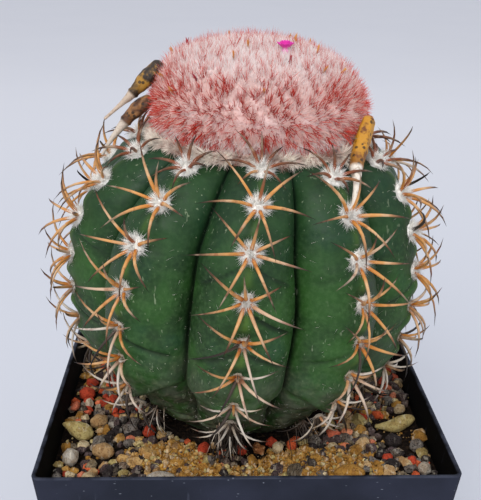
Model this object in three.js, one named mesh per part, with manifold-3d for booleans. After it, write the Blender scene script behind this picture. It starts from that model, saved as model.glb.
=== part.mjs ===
import * as THREE from "three";
import { mergeVertices } from "three/addons/utils/BufferGeometryUtils.js";
import Module from "manifold-3d";

// A turk's cap cactus in a square plastic pot of grit: millimetres, +Z up, origin at the middle of the
// pot's base, front of the plant towards -Y. Azimuths are degrees from the front, positive towards +X.

const wasm = await Module();
wasm.setup();

// Pot
const POT_RIM_WIDTH = 150;
const POT_BASE_WIDTH = 122;
const POT_HEIGHT = 130;
const POT_WALL = 1.5;
const POT_FLOOR = 2;
const POT_CORNER_RADIUS = 3;
const DRAIN_RADIUS = 4;
const DRAIN_SPACING = 62;

// Grit
const GRIT_LEVEL = 118.5;
const GRIT_GAP = 0.3;
const STONE_PITCH = 11.8;
const STONE_SIZE = 9.6;
const STONE_LEAST_SHARE = 0.62;
const STONE_SPREAD = 0.3;
const STONE_RISE = 2.4;
const STONE_WALL_GAP = 0.4;

// Body of the plant, in its own frame: the grit line is at z = 0 and the axis leans towards +X
const PLANT_FOOT = new THREE.Vector3(-2, -0.5, 119);
const PLANT_LEAN = 1.6;
const STEM_TOP = 113.4;
const RIB_COUNT = 10;
const GROOVE_RATIO = 0.77;
const FOOT_GROOVE_RATIO = 0.93;
const FOOT_SHARE = 0.75;
const RIB_PHASE = -1.6;
const RIB_TWIST_PER_MM = 0.073;
const RIB_PHASE_HEIGHT = 71;
const CROWN_SWAY_BY_RIB = [-2.5, -7, -9, -4, 0, 2, 1, 0, 1.8, 0.9];
const FOOT_SWAY_BY_RIB = [0.5, 2.4, 0.3, -1, 0, 1.5, 0, -2, -4, -2.9];
const SWAY_ZONE = [55, STEM_TOP];
const CROWN_SHIFT = 3.3;
const CROWN_SHIFT_FROM = 80;
const CHIN_RELIEF = 0.9;
const LAST_CHIN = 13;
const ROOT_DEPTH = 20;
const CREST_LINE = [
  [40.5, STEM_TOP],
  [45.5, 111.2],
  [52.9, 106.6],
  [59.8, 99],
  [65.3, 88],
  [67.9, 74],
  [68.6, 61],
  [67.2, 47],
  [63.8, 33],
  [57, 21.5],
  [46, 11],
  [30, 0],
];
const ROOT_LINE = [
  [25, -7],
  [17, -15],
];
const FLANK_STATIONS = [0, 0.4, 0.76, 1, 0.76, 0.4];

// Areoles and spines
const AREOLE_DISTANCES = [4, 19.3, 34.9, 51, 65.8, 79.5, 93, 106];
const AREOLE_DROP_BY_RIB = [0, 5, 4, 1, 5, 0.5, 4, 5, 4.5, 3.2];
const PAD_RADIUS = 3.3;
const PAD_RISE = 0.7;
const SPINES_PER_AREOLE = 7;
const SPINE_LENGTH = 22.5;
const OLD_SPINE_LENGTH = 15;
const SPINE_ROOT_RADIUS = 1.8;
const SPINE_MIDDLE_RADIUS = 0.85;
const UPPER_SPINE_RISE = 62;
const SPINE_RISE = 38;
const SPINE_CURL = 33;
const SPINE_CLEARANCE = 1.8;
const SIBLING_SHARE = 0.25;
const SKIN_CLEARANCE = 1.6;
const SPINE_RAISES = [0, 8, 16, 24, 32, 40, 48];
const SPINE_SWINGS = [0, 9, -9];
const SPINE_TURN_SPREAD = 12;
const SPINE_RISE_SPREAD = 14;
const SPINE_LENGTH_SPREAD = 0.24;
const SPINE_SHARES = [0.8, 0.78, 1, 1.05, 1, 1, 1.08];
const YOUNG_SPINE_SHARE = 0.7;
const GRIT_HEADROOM = 6;
const RIM_HEADROOM = 2;
const WALL_ZONE = [56, 68];

// Cap, in its own frame on the crown: z = 0 at its flat underside
const CAP_GAP = 0.3;
const CAP_LINE = [
  [36.5, 0],
  [38.6, 3.5],
  [39.6, 10],
  [38.8, 18],
  [34, 27],
  [28.2, 31.4],
  [19.4, 34.6],
  [10, 36.4],
];
const CAP_HEIGHT = 37;
const CAP_LEAN = 1.9;
const CAP_LEAN_ZONE = [12, 34];
const CAP_SEGMENTS = 20;
const CAP_REACH = 43;
const BRISTLE_COUNT = 210;
const BRISTLE_LENGTH = 3.4;
const BRISTLE_RADIUS = 0.8;
const BRISTLE_SINK = 1.2;
const BRISTLE_UPSWEEP = 0.35;
const BRISTLE_RANGE = [0.04, 0.98];
const BRISTLE_CROWDING = 1.5;

// Flower on the cap, and the dried fruits beside it, each as a path with its radii, in the pot's frame
const FLOWER_FOOT = [12.7, -15.5, 264.4];
const FLOWER_WIDTH = 7.6;
const FLOWER_TUBE_RADIUS = 1.3;
const FLOWER_TUBE_LENGTH = 4.2;
const PETAL_COUNT = 8;
const PETAL_THICKNESS = 0.7;
const PETAL_WIDTH = 1.5;
const PETAL_SPREADS = [42, 24];
const SEAT_GAP = 0.3;
const FRUITS = {
  dried_fruit_right: {
    path: [
      [33.6, -50.8, 217.8],
      [36, -44.6, 226],
      [37, -36.2, 230.6],
      [40.2, -27, 237.6],
      [43.6, -19.6, 244.4],
    ],
    radii: [0.6, 1.1, 2.3, 2.9, 2],
    colour: "#a8812f",
  },
  dried_fruit_left_upper: {
    path: [
      [-52.9, -7.7, 240.4],
      [-47.5, -6, 245],
      [-42.3, -4.7, 249.6],
      [-37, -3.6, 255.2],
      [-31.8, -2.8, 260.8],
    ],
    radii: [0.6, 0.8, 1.9, 3.1, 1.8],
    colour: "#6b5220",
  },
  dried_fruit_left_lower: {
    path: [
      [-54, -9.5, 227.2],
      [-51.5, -7.4, 231.5],
      [-45.2, -5.4, 239.3],
      [-40.6, -4.4, 243.8],
      [-35.6, -4, 247.9],
    ],
    radii: [0.6, 0.8, 1.9, 2.9, 1.6],
    colour: "#8a6b45",
  },
};

// Single pebbles on the grit: place, size along and across and up, turn, and colour
const PEBBLES = {
  pebble_yellow_green: { at: [-65.4, -30], size: [12.4, 9.6, 8.6], turn: -8, colour: "#a99b68" },
  pebble_tan: { at: [-58.3, -22], size: [8.4, 7, 6.5], turn: 30, colour: "#b08a5a" },
  pebble_olive: { at: [61.4, -26], size: [17.5, 7.6, 7.2], turn: 10, colour: "#7d7a52" },
  pebble_ochre: { at: [38.3, -58], size: [12.2, 7.4, 6.6], turn: -6, colour: "#b98d3c" },
  pebble_grey_white: { at: [-65.9, -46.9], size: [7.6, 8, 7.4], turn: 20, colour: "#b9b3a6" },
  pebble_beige: { at: [-54.2, -42.9], size: [9.2, 6.8, 6.4], turn: -20, colour: "#b79f7d" },
  pebble_cream: { at: [-57.6, -60.6], size: [7, 6, 6], turn: 45, colour: "#cdbf9f" },
  pebble_quartz: { at: [66.6, -55.4], size: [5.8, 6, 6], turn: 15, colour: "#cfcac0" },
  pebble_lava: { at: [58.8, -36.6], size: [8.4, 6.4, 6], turn: 8, colour: "#3f3b3d" },
  pebble_grey: { at: [67.2, -40.2], size: [6.8, 7.4, 6], turn: -30, colour: "#8b8787" },
  pebble_brick: { at: [-37.6, -29], size: [6.4, 6.6, 5.8], turn: -35, colour: "#9a4a30" },
  pebble_orange: { at: [46.8, -61.8], size: [4.4, 4.2, 4.2], turn: 20, colour: "#b5713a" },
  pebble_white: { at: [-31.6, -61], size: [11.6, 6.4, 6.4], turn: 6, colour: "#c9cabf" },
  pebble_red: { at: [-15.9, -41.4], size: [5, 8, 5], turn: -28, colour: "#b8493a" },
  pebble_small_red: { at: [-1.2, -42.8], size: [4, 6.4, 4.8], turn: 26, colour: "#c0483a" },
  pebble_heart: { at: [12.9, -41.4], size: [5, 6.2, 5.4], turn: 0, colour: "#c2ab78" },
  pebble_coral: { at: [18.6, -39.6], size: [4.8, 5.8, 5.4], turn: 8, colour: "#c4603f" },
  pebble_brick_left: { at: [-66, 0.2], size: [8.4, 7.8, 6.4], turn: 15, colour: "#a0522f" },
  pebble_pale: { at: [66.2, -13.6], size: [6.2, 5.4, 5], turn: 25, colour: "#c4b694" },
};
const PEBBLE_LIFT = 1.1;
const HUSK = { at: [5.7, -42.2], size: [5.4, 8.8, 4.4], turn: 22, colour: "#5a3a20" };

const SEED = 20417;

// A repeatable stream of numbers from 0 to 1
function randomStream(seed) {
  let state = seed >>> 0;
  return () => {
    state = (state + 0x6d2b79f5) >>> 0;
    let t = state;
    t = Math.imul(t ^ (t >>> 15), t | 1);
    t ^= t + Math.imul(t ^ (t >>> 7), t | 61);
    return ((t ^ (t >>> 14)) >>> 0) / 4294967296;
  };
}

const rad = THREE.MathUtils.degToRad;
const vector = (xyz) => new THREE.Vector3(...xyz);

// A closed three.js geometry as a solid that can be joined and cut
function solidFrom(geometry) {
  const bare = geometry.clone();
  bare.deleteAttribute("normal");
  bare.deleteAttribute("uv");
  const merged = mergeVertices(bare, 1e-4);
  const corners = merged.index.array;
  const kept = [];
  for (let i = 0; i < corners.length; i += 3) {
    const [a, b, c] = [corners[i], corners[i + 1], corners[i + 2]];
    if (a !== b && b !== c && c !== a) kept.push(a, b, c);
  }
  const mesh = new wasm.Mesh({
    numProp: 3,
    vertProperties: merged.attributes.position.array,
    triVerts: new Uint32Array(kept),
  });
  return new wasm.Manifold(mesh);
}

// The solid's largest body, without loose scraps that a cut left
function largestBody(solid) {
  const bodies = solid.decompose();
  return bodies.reduce((best, body) => (body.volume() > best.volume() ? body : best));
}

// A named mesh of a solid, with its own finish
function meshFrom(name, solid, colour, roughness = 0.8) {
  const { vertProperties, triVerts } = largestBody(solid).getMesh();
  const geometry = new THREE.BufferGeometry();
  geometry.setAttribute("position", new THREE.BufferAttribute(vertProperties, 3));
  geometry.setIndex(new THREE.BufferAttribute(triVerts, 1));
  geometry.computeVertexNormals();
  const material = new THREE.MeshStandardMaterial({ color: colour, roughness, metalness: 0 });
  const mesh = new THREE.Mesh(geometry, material);
  mesh.name = name;
  return mesh;
}

// Moves every vertex of a geometry by a function of its place
function reshape(geometry, move) {
  const position = geometry.attributes.position;
  const point = new THREE.Vector3();
  for (let i = 0; i < position.count; i++) {
    move(point.fromBufferAttribute(position, i), i);
    position.setXYZ(i, point.x, point.y, point.z);
  }
  return geometry;
}

// Two directions across a line, square to each other
function acrossDirections(along) {
  const helper = Math.abs(along.z) < 0.9 ? new THREE.Vector3(0, 0, 1) : new THREE.Vector3(1, 0, 0);
  const first = new THREE.Vector3().crossVectors(helper, along).normalize();
  const second = new THREE.Vector3().crossVectors(along, first);
  return [first, second];
}

// A straight three-sided needle from its root to its tip
function needle(root, tip, radius) {
  const along = tip.clone().sub(root);
  const cone = new THREE.ConeGeometry(radius, along.length(), 3, 1);
  const turn = new THREE.Quaternion().setFromUnitVectors(new THREE.Vector3(0, 1, 0), along.normalize());
  cone.applyQuaternion(turn);
  const middle = root.clone().lerp(tip, 0.5);
  return cone.translate(middle.x, middle.y, middle.z);
}

// A round body along a curve, with its radius given as a list of equal steps and widened all over by a margin
function stalkAndPod(path, radii, margin = 0) {
  const curve = new THREE.CatmullRomCurve3(path.map(vector));
  const stations = radii.map((radius, i) => new THREE.Vector2(i / (radii.length - 1), radius));
  const radiusLine = new THREE.SplineCurve(stations);
  const [first, second] = acrossDirections(curve.getTangent(0.5));
  const steps = 2 * (path.length - 1);
  const tube = new THREE.CylinderGeometry(1, 1, 1, 7, steps);
  return reshape(tube, (point) => {
    const along = point.y + 0.5;
    const ends = along < 0.001 ? -margin : along > 0.999 ? margin : 0;
    const centre = curve.getPoint(along).addScaledVector(curve.getTangent(along), ends);
    const radius = radiusLine.getPoint(along).y + margin;
    centre.addScaledVector(first, point.x * radius);
    centre.addScaledVector(second, -point.z * radius);
    point.copy(centre);
  });
}

// A square block with round corners whose width changes evenly from its foot to its top
function taperedBlock(footWidth, topWidth, footHeight, topHeight, cornerRadius) {
  const half = 0.5;
  const round = cornerRadius / topWidth;
  const outline = new THREE.Shape();
  outline.absarc(half - round, half - round, round, 0, Math.PI / 2);
  outline.absarc(round - half, half - round, round, Math.PI / 2, Math.PI);
  outline.absarc(round - half, round - half, round, Math.PI, 1.5 * Math.PI);
  outline.absarc(half - round, round - half, round, 1.5 * Math.PI, 2 * Math.PI);
  const block = new THREE.ExtrudeGeometry(outline, { depth: 1, bevelEnabled: false, curveSegments: 4 });
  return reshape(block, (point) => {
    const width = THREE.MathUtils.lerp(footWidth, topWidth, point.z);
    point.x *= width;
    point.y *= width;
    point.z = THREE.MathUtils.lerp(footHeight, topHeight, point.z);
  });
}

// Outer width of the pot at a height
const potWidthAt = (height) => THREE.MathUtils.lerp(POT_BASE_WIDTH, POT_RIM_WIDTH, height / POT_HEIGHT);

function pot() {
  const shell = taperedBlock(POT_BASE_WIDTH, POT_RIM_WIDTH, 0, POT_HEIGHT, POT_CORNER_RADIUS);
  const above = POT_HEIGHT + 1;
  const hollow = taperedBlock(
    potWidthAt(POT_FLOOR) - 2 * POT_WALL,
    potWidthAt(above) - 2 * POT_WALL,
    POT_FLOOR,
    above,
    POT_CORNER_RADIUS - POT_WALL,
  );
  const drains = [-0.5, 0.5].flatMap((x) =>
    [-0.5, 0.5].map((y) => {
      const drain = new THREE.CylinderGeometry(DRAIN_RADIUS, DRAIN_RADIUS, 3 * POT_FLOOR, 12);
      drain.rotateX(Math.PI / 2);
      drain.translate(x * DRAIN_SPACING, y * DRAIN_SPACING, 0);
      return solidFrom(drain);
    }),
  );
  return solidFrom(shell).subtract(solidFrom(hollow)).subtract(wasm.Manifold.union(drains));
}

const profileOf = (line) => line.map(([radius, height]) => new THREE.Vector2(radius, height));

// The crest line from the crown's edge down to the grit line, measured along itself
const crestCurve = new THREE.SplineCurve(profileOf(CREST_LINE));
const crestLength = crestCurve.getLength();
const crestAt = (distance) => crestCurve.getPointAt(THREE.MathUtils.clamp(distance / crestLength, 0, 1));

// Sideways shift of the axis towards the crown
const axisShift = (height) => CROWN_SHIFT * THREE.MathUtils.smoothstep(height, CROWN_SHIFT_FROM, STEM_TOP);

// A value listed by rib, for ribs that may be counted in fractions, as the flanks between them are
function atRib(list, rib) {
  const below = Math.floor(rib);
  const [here, next] = [below, below + 1].map((k) => list[((k % RIB_COUNT) + RIB_COUNT) % RIB_COUNT]);
  return THREE.MathUtils.lerp(here, next, rib - below);
}

// How far a rib leans aside from its even place at a height, in degrees
function ribSway(rib, height) {
  const towardsCrown = THREE.MathUtils.smoothstep(height, ...SWAY_ZONE);
  return THREE.MathUtils.lerp(atRib(FOOT_SWAY_BY_RIB, rib), atRib(CROWN_SWAY_BY_RIB, rib), towardsCrown);
}

// Azimuth of a rib at a height, in radians
function ribAzimuth(rib, height) {
  const phase = RIB_PHASE + RIB_TWIST_PER_MM * (height - RIB_PHASE_HEIGHT);
  return rad((rib * 360) / RIB_COUNT + phase + ribSway(rib, height));
}

// The rib at an azimuth and a height, in fractions
function ribAt(azimuth, height) {
  const phase = RIB_PHASE + RIB_TWIST_PER_MM * (height - RIB_PHASE_HEIGHT);
  const even = ((azimuth - rad(phase)) * RIB_COUNT) / rad(360);
  let rib = even;
  for (let step = 0; step < 3; step++) rib = even - (ribSway(rib, height) * RIB_COUNT) / 360;
  return rib;
}

// How far a rib's areoles sit below those of the front rib
const areoleDrop = (rib) => atRib(AREOLE_DROP_BY_RIB, rib);

// A point of the plant's skin: distance down the crest line, rib, and share of the way from crest to groove
function skinPoint(distance, rib, flank, relief) {
  const crest = crestAt(distance);
  const atFoot = THREE.MathUtils.smoothstep(distance, FOOT_SHARE * crestLength, crestLength);
  const groove = THREE.MathUtils.lerp(GROOVE_RATIO, FOOT_GROOVE_RATIO, atFoot);
  const swell = Math.sqrt(Math.max(0, 1 - flank * flank));
  const radius = crest.x * (groove + (1 - groove) * swell) + relief * (1 - flank);
  const azimuth = ribAzimuth(rib, crest.y);
  const x = axisShift(crest.y) + radius * Math.sin(azimuth);
  return new THREE.Vector3(x, -radius * Math.cos(azimuth), crest.y);
}

// The rows of the skin's mesh: one at each areole and one at each chin between two of them, then the foot
function skinRows() {
  const rows = [{ distance: 0, relief: 0, drops: 0 }];
  AREOLE_DISTANCES.forEach((distance, order) => {
    const next = AREOLE_DISTANCES[order + 1] ?? distance + LAST_CHIN;
    rows.push({ distance, relief: -CHIN_RELIEF, drops: 1 });
    rows.push({ distance: (distance + next) / 2, relief: CHIN_RELIEF, drops: 1 });
  });
  const last = rows[rows.length - 1].distance;
  rows.push({ distance: (last + crestLength) / 2, relief: 0, drops: 0.5 });
  rows.push({ distance: crestLength, relief: 0, drops: 0 });
  return rows;
}

function stem(random) {
  const rows = skinRows();
  const top = new THREE.Vector2(0, STEM_TOP);
  const crest = rows.map(({ distance }) => crestAt(distance));
  const profile = [top, ...crest, ...profileOf(ROOT_LINE), new THREE.Vector2(0, -ROOT_DEPTH)].reverse();
  const columns = RIB_COUNT * FLANK_STATIONS.length;
  const lathe = new THREE.LatheGeometry(profile, columns);
  lathe.rotateX(Math.PI / 2);
  const skin = reshape(lathe, (point, i) => {
    const column = Math.floor(i / profile.length) % columns;
    const row = rows[profile.length - 2 - (i % profile.length)];
    if (!row) {
      if (point.z > 0) point.x += CROWN_SHIFT;
      return;
    }
    const rib = column / FLANK_STATIONS.length;
    const distance = row.distance + row.drops * areoleDrop(rib);
    const flank = FLANK_STATIONS[column % FLANK_STATIONS.length];
    point.copy(skinPoint(distance, rib, flank, row.relief));
  });
  return solidFrom(withPadsAndSpines(skin, random));
}

// Where an areole sits, with the skin's outward, upward and sideways directions there
function areoleFrame(rib, order) {
  const distance = AREOLE_DISTANCES[order] + areoleDrop(rib);
  const at = skinPoint(distance, rib, 0, -CHIN_RELIEF);
  const up = skinPoint(distance - 2, rib, 0, 0).sub(skinPoint(distance + 2, rib, 0, 0)).normalize();
  const azimuth = ribAzimuth(rib, at.z);
  const side = new THREE.Vector3(Math.cos(azimuth), Math.sin(azimuth), 0);
  const out = new THREE.Vector3().crossVectors(side, up).normalize();
  side.crossVectors(up, out);
  return { at, up, side, out, age: order / (AREOLE_DISTANCES.length - 1) };
}

// All areoles, rib by rib from the crown down
function areoleFrames() {
  const ribs = Array.from({ length: RIB_COUNT }, (_, rib) => rib);
  const orders = AREOLE_DISTANCES.map((_, order) => order);
  return ribs.flatMap((rib) => orders.map((order) => areoleFrame(rib, order)));
}

// A point of an areole's own plane: a turn from its upward direction, a radius, and a height off the skin
function onAreole({ at, up, side, out }, turn, radius, height) {
  const point = at.clone().addScaledVector(up, Math.cos(turn) * radius);
  return point.addScaledVector(side, Math.sin(turn) * radius).addScaledVector(out, height);
}

// Radius of the skin at a height, from the crest line, and at a point's own azimuth between crest and groove
const crestSamples = crestCurve.getSpacedPoints(160).reverse();
function skinRadiusAt(point) {
  const above = crestSamples.findIndex((sample) => sample.y >= point.z);
  if (above < 1) return point.z > STEM_TOP ? 0 : crestSamples[0].x;
  const [low, high] = [crestSamples[above - 1], crestSamples[above]];
  const crest = THREE.MathUtils.mapLinear(point.z, low.y, high.y, low.x, high.x);
  const azimuth = Math.atan2(point.x - axisShift(point.z), -point.y);
  const ribs = ribAt(azimuth, point.z);
  const flank = 2 * Math.abs(ribs - Math.round(ribs));
  return crest * (GROOVE_RATIO + (1 - GROOVE_RATIO) * Math.sqrt(Math.max(0, 1 - flank * flank)));
}

// Nearest distance from a point to a fruit's path, less the fruit's radius there
function distanceToFruit(point, fruit) {
  return fruit.path.slice(1).reduce((nearest, end, i) => {
    const segment = new THREE.Line3(vector(fruit.path[i]), vector(end));
    const close = segment.closestPointToPoint(point, true, new THREE.Vector3());
    const radius = Math.max(fruit.radii[i], fruit.radii[i + 1]);
    return Math.min(nearest, close.distanceTo(point) - radius);
  }, Infinity);
}

const plant = new THREE.Group();
plant.position.copy(PLANT_FOOT);
plant.rotation.y = rad(PLANT_LEAN);
plant.updateMatrixWorld(true);

// Whether a point of a spine, in the plant's frame, keeps clear of the skin, grit, pot, cap and fruits
function isClear(point) {
  const fromAxis = Math.hypot(point.x - axisShift(point.z), point.y);
  if (fromAxis < skinRadiusAt(point) + SKIN_CLEARANCE) return false;
  const place = point.clone().applyMatrix4(plant.matrixWorld);
  const reach = Math.max(Math.abs(place.x), Math.abs(place.y));
  const nearWall = THREE.MathUtils.smoothstep(reach, ...WALL_ZONE);
  const floor = THREE.MathUtils.lerp(GRIT_LEVEL + GRIT_HEADROOM, POT_HEIGHT + RIM_HEADROOM, nearWall);
  if (place.z < floor) return false;
  const fromCapAxis = Math.hypot(point.x - CROWN_SHIFT, point.y);
  if (point.z > STEM_TOP - 2 && fromCapAxis < CAP_REACH + SPINE_CLEARANCE) return false;
  return Object.values(FRUITS).every((fruit) => distanceToFruit(place, fruit) > SPINE_CLEARANCE);
}

// Points at even steps along a spine's two legs, from a share of its length to its tip
function pointsAlong(legs, from) {
  return Array.from({ length: 9 }, (_, i) => {
    const share = 2 * THREE.MathUtils.lerp(from, 1, i / 8);
    const point = new THREE.Vector3();
    return share < 1 ? legs[0].at(share, point) : legs[1].at(share - 1, point);
  });
}

// Whether a spine comes closer than the clearance to another; two of one areole may meet at their roots
function spinesMeet(spine, other) {
  if (spine.legs[0].end.distanceTo(other.legs[0].end) > 2 * SPINE_LENGTH) return false;
  const from = spine.frame === other.frame ? SIBLING_SHARE : 0;
  const close = new THREE.Vector3();
  return pointsAlong(spine.legs, from).some((point) =>
    other.legs.some((leg) => leg.closestPointToPoint(point, true, close).distanceTo(point) < SPINE_CLEARANCE),
  );
}

// A spine as two legs: it leaves the areole at one rise off the skin and curls back towards it
function spineLegs(frame, turn, rise, length) {
  const leg = (from, angle) => {
    const [across, off] = [(Math.cos(angle) * length) / 2, (Math.sin(angle) * length) / 2];
    return new THREE.Line3(from, onAreole({ ...frame, at: from }, turn, across, off));
  };
  const root = onAreole(frame, turn, SPINE_ROOT_RADIUS / 2, PAD_RISE);
  const lower = leg(root, rise);
  return [lower, leg(lower.end, rise - rad(SPINE_CURL))];
}

// A spine that is raised or turned in steps until it keeps clear of everything, and of the spines before it
function clearSpine(frame, turn, rise, length, grown) {
  for (const raise of SPINE_RAISES) {
    for (const swing of SPINE_SWINGS) {
      const legs = spineLegs(frame, turn + rad(swing), rise + rad(raise), length);
      const spine = { frame, legs };
      const free = pointsAlong(legs, SIBLING_SHARE).every(isClear);
      if (free && !grown.some((other) => spinesMeet(spine, other))) return spine;
    }
  }
  return null;
}

// Grows the spines of an areole, one to each side of its pad's inner ring; the upper one stands most upright
function growSpines(frame, grown, random) {
  const vary = (span) => (random() - 0.5) * span;
  const grownShare = frame.age ? 1 : YOUNG_SPINE_SHARE;
  const length = grownShare * THREE.MathUtils.lerp(SPINE_LENGTH, OLD_SPINE_LENGTH, frame.age ** 2);
  return Array.from({ length: SPINES_PER_AREOLE }, (_, i) => {
    const turn = (i * 2 * Math.PI) / SPINES_PER_AREOLE + rad(vary(SPINE_TURN_SPREAD));
    const rise = rad((i ? SPINE_RISE : UPPER_SPINE_RISE) + vary(SPINE_RISE_SPREAD));
    const own = length * SPINE_SHARES[i] * (1 + vary(SPINE_LENGTH_SPREAD));
    const spine = clearSpine(frame, turn, rise, own, grown);
    if (spine) grown.push(spine);
    return spine;
  });
}

// The skin with a raised pad at each areole and its spines grown out of the pad. The faces round the
// areole's vertex stop at the pad's edge, a flat band leads in to a small ring, and each face inside the
// ring is a spine's root or stays flat
function withPadsAndSpines(skin, random) {
  skin.deleteAttribute("normal");
  skin.deleteAttribute("uv");
  const merged = mergeVertices(skin, 1e-4);
  const position = merged.attributes.position;
  const points = [];
  const addPoint = (point) => points.push(point) - 1;
  for (let i = 0; i < position.count; i++) {
    addPoint(new THREE.Vector3().fromBufferAttribute(position, i));
  }
  const pads = new Map();
  areoleFrames().forEach((frame) => {
    const distances = points.slice(0, position.count).map((point) => point.distanceToSquared(frame.at));
    pads.set(distances.indexOf(Math.min(...distances)), { frame, rim: new Map() });
  });
  const corners = [];
  const rimPoint = (pad, neighbour) => {
    if (!pad.rim.has(neighbour)) {
      const { at, up, side } = pad.frame;
      const away = points[neighbour].clone().sub(at);
      const turn = Math.atan2(away.dot(side), away.dot(up));
      pad.rim.set(neighbour, { turn, index: addPoint(onAreole(pad.frame, turn, PAD_RADIUS, PAD_RISE)) });
    }
    return pad.rim.get(neighbour).index;
  };
  const index = merged.index.array;
  for (let i = 0; i < index.length; i += 3) {
    const face = [index[i], index[i + 1], index[i + 2]];
    if (new Set(face).size < 3) continue;
    const turn = face.findIndex((corner) => pads.has(corner));
    if (turn < 0) {
      corners.push(...face);
      continue;
    }
    const pad = pads.get(face[turn]);
    const [first, second] = [face[(turn + 1) % 3], face[(turn + 2) % 3]];
    const [rimFirst, rimSecond] = [rimPoint(pad, first), rimPoint(pad, second)];
    corners.push(rimFirst, first, second, rimFirst, second, rimSecond);
  }
  const grown = [];
  pads.forEach(({ frame, rim }, centre) => {
    points[centre] = onAreole(frame, 0, 0, PAD_RISE);
    const step = (2 * Math.PI) / SPINES_PER_AREOLE;
    const inner = Array.from({ length: SPINES_PER_AREOLE }, (_, i) =>
      addPoint(onAreole(frame, (i - 0.5) * step, SPINE_ROOT_RADIUS, PAD_RISE)),
    );
    corners.push(...bandFaces(rim, inner));
    growSpines(frame, grown, random).forEach((spine, i) => {
      const root = [centre, inner[(i + 1) % SPINES_PER_AREOLE], inner[i]];
      corners.push(...(spine ? spineFaces(root, spine, points) : root));
    });
  });
  return new THREE.BufferGeometry().setFromPoints(points).setIndex(corners);
}

// Faces between a pad's rim and its inner ring, both met in order of their turn round the areole
function bandFaces(rim, inner) {
  const outer = [...rim.values()].sort((a, b) => a.turn - b.turn);
  const step = (2 * Math.PI) / inner.length;
  const wrapped = (turn) => ((turn + Math.PI) % (2 * Math.PI)) - Math.PI;
  const ring = inner.map((index, i) => ({ index, turn: wrapped((i - 0.5) * step) }));
  ring.sort((a, b) => a.turn - b.turn);
  const faces = [];
  let [o, r] = [0, 0];
  const turnOf = (list, i) => list[i % list.length].turn + 2 * Math.PI * Math.floor(i / list.length);
  while (o < outer.length || r < ring.length) {
    const [outerHere, ringHere] = [outer[o % outer.length].index, ring[r % ring.length].index];
    if (r >= ring.length || (o < outer.length && turnOf(outer, o + 1) < turnOf(ring, r + 1))) {
      faces.push(ringHere, outer[(o + 1) % outer.length].index, outerHere);
      o += 1;
    } else {
      faces.push(ringHere, ring[(r + 1) % ring.length].index, outerHere);
      r += 1;
    }
  }
  return faces;
}

// Faces of a spine that rises from a three-cornered root, through a smaller triangle square to its bend, to
// its tip
function spineFaces(root, { frame, legs }, points) {
  const centre = root.reduce((sum, i) => sum.add(points[i]), new THREE.Vector3()).divideScalar(3);
  const bend = legs[1].end.clone().sub(legs[0].start).normalize();
  const turn = new THREE.Quaternion().setFromUnitVectors(frame.out, bend);
  const middle = root.map((i) => {
    const arm = points[i].clone().sub(centre).setLength(SPINE_MIDDLE_RADIUS);
    return points.push(arm.applyQuaternion(turn).add(legs[0].end)) - 1;
  });
  const tip = points.push(legs[1].end.clone()) - 1;
  return [0, 1, 2].flatMap((i) => {
    const next = (i + 1) % 3;
    const lower = [root[i], root[next], middle[next], root[i], middle[next], middle[i]];
    return [...lower, middle[i], middle[next], tip];
  });
}

// The smooth round outline of the body's foot and root, widened by the gap, which leaves its hole in the grit
function stemHole() {
  const sides = profileOf([...CREST_LINE.slice(-4), ...ROOT_LINE]).reverse();
  sides.forEach((point) => point.set(point.x + 2 * GRIT_GAP, point.y - GRIT_GAP));
  const foot = new THREE.Vector2(0, -ROOT_DEPTH - GRIT_GAP);
  const lid = new THREE.Vector2(0, sides.at(-1).y);
  const hole = new THREE.LatheGeometry([foot, ...sides, lid], 40);
  hole.rotateX(Math.PI / 2);
  return hole.applyMatrix4(plant.matrixWorld);
}

// An irregular stone: a ball of flat faces, stretched, turned and roughened
function pebble({ at, size, turn }, height, random, margin = 0) {
  const ball = mergeVertices(bareBall(Math.max(...size) > 9 ? 1 : 0));
  reshape(ball, (point) => {
    const rough = 1 + (random() - 0.5) * 0.16;
    point.set(point.x * size[0], point.y * size[1], point.z * size[2]).multiplyScalar(0.5 * rough);
    point.setLength(point.length() + margin);
  });
  ball.rotateZ(rad(turn));
  ball.translate(at[0], at[1], height);
  return ball;
}

function bareBall(detail) {
  const ball = new THREE.IcosahedronGeometry(1, detail);
  ball.deleteAttribute("normal");
  ball.deleteAttribute("uv");
  return ball;
}

// A stone of the bed: a block with uneven corners, turned any way, half sunk in the fill
function bedStone(x, y, random) {
  const block = new THREE.BoxGeometry(1, 1, 1);
  block.deleteAttribute("normal");
  block.deleteAttribute("uv");
  const stone = mergeVertices(block);
  const size = [0, 0, 0].map(() => STONE_SIZE * (STONE_LEAST_SHARE + STONE_SPREAD * random()));
  reshape(stone, (point) => {
    point.set(point.x * size[0], point.y * size[1], point.z * size[2]);
    point.multiplyScalar(1 + (random() - 0.5) * 0.3);
  });
  stone.rotateX(random() * Math.PI);
  stone.rotateY(random() * Math.PI);
  stone.rotateZ(random() * Math.PI);
  stone.translate(x, y, GRIT_LEVEL + STONE_RISE * (random() - 0.6));
  return stone;
}

// Whether a bed stone has room: off the stem, off the walls and off the single pebbles
function bedStoneFits(x, y) {
  const wall = potWidthAt(GRIT_LEVEL) / 2 - POT_WALL;
  if (Math.max(Math.abs(x), Math.abs(y)) > wall - STONE_SIZE / 2) return false;
  const footRadius = CREST_LINE.at(-1)[0];
  if (Math.hypot(x - PLANT_FOOT.x, y - PLANT_FOOT.y) < footRadius + STONE_SIZE / 2) return false;
  return [...Object.values(PEBBLES), HUSK].every(
    ({ at, size }) => Math.hypot(x - at[0], y - at[1]) > (Math.max(size[0], size[1]) + STONE_SIZE) / 2,
  );
}

// A filling of the pot's inside, a gap clear of its walls, from one height to another
function filling(gap, from, to) {
  const inset = 2 * (POT_WALL + gap);
  const radius = POT_CORNER_RADIUS - POT_WALL - gap;
  return solidFrom(taperedBlock(potWidthAt(from) - inset, potWidthAt(to) - inset, from, to, radius));
}

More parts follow.
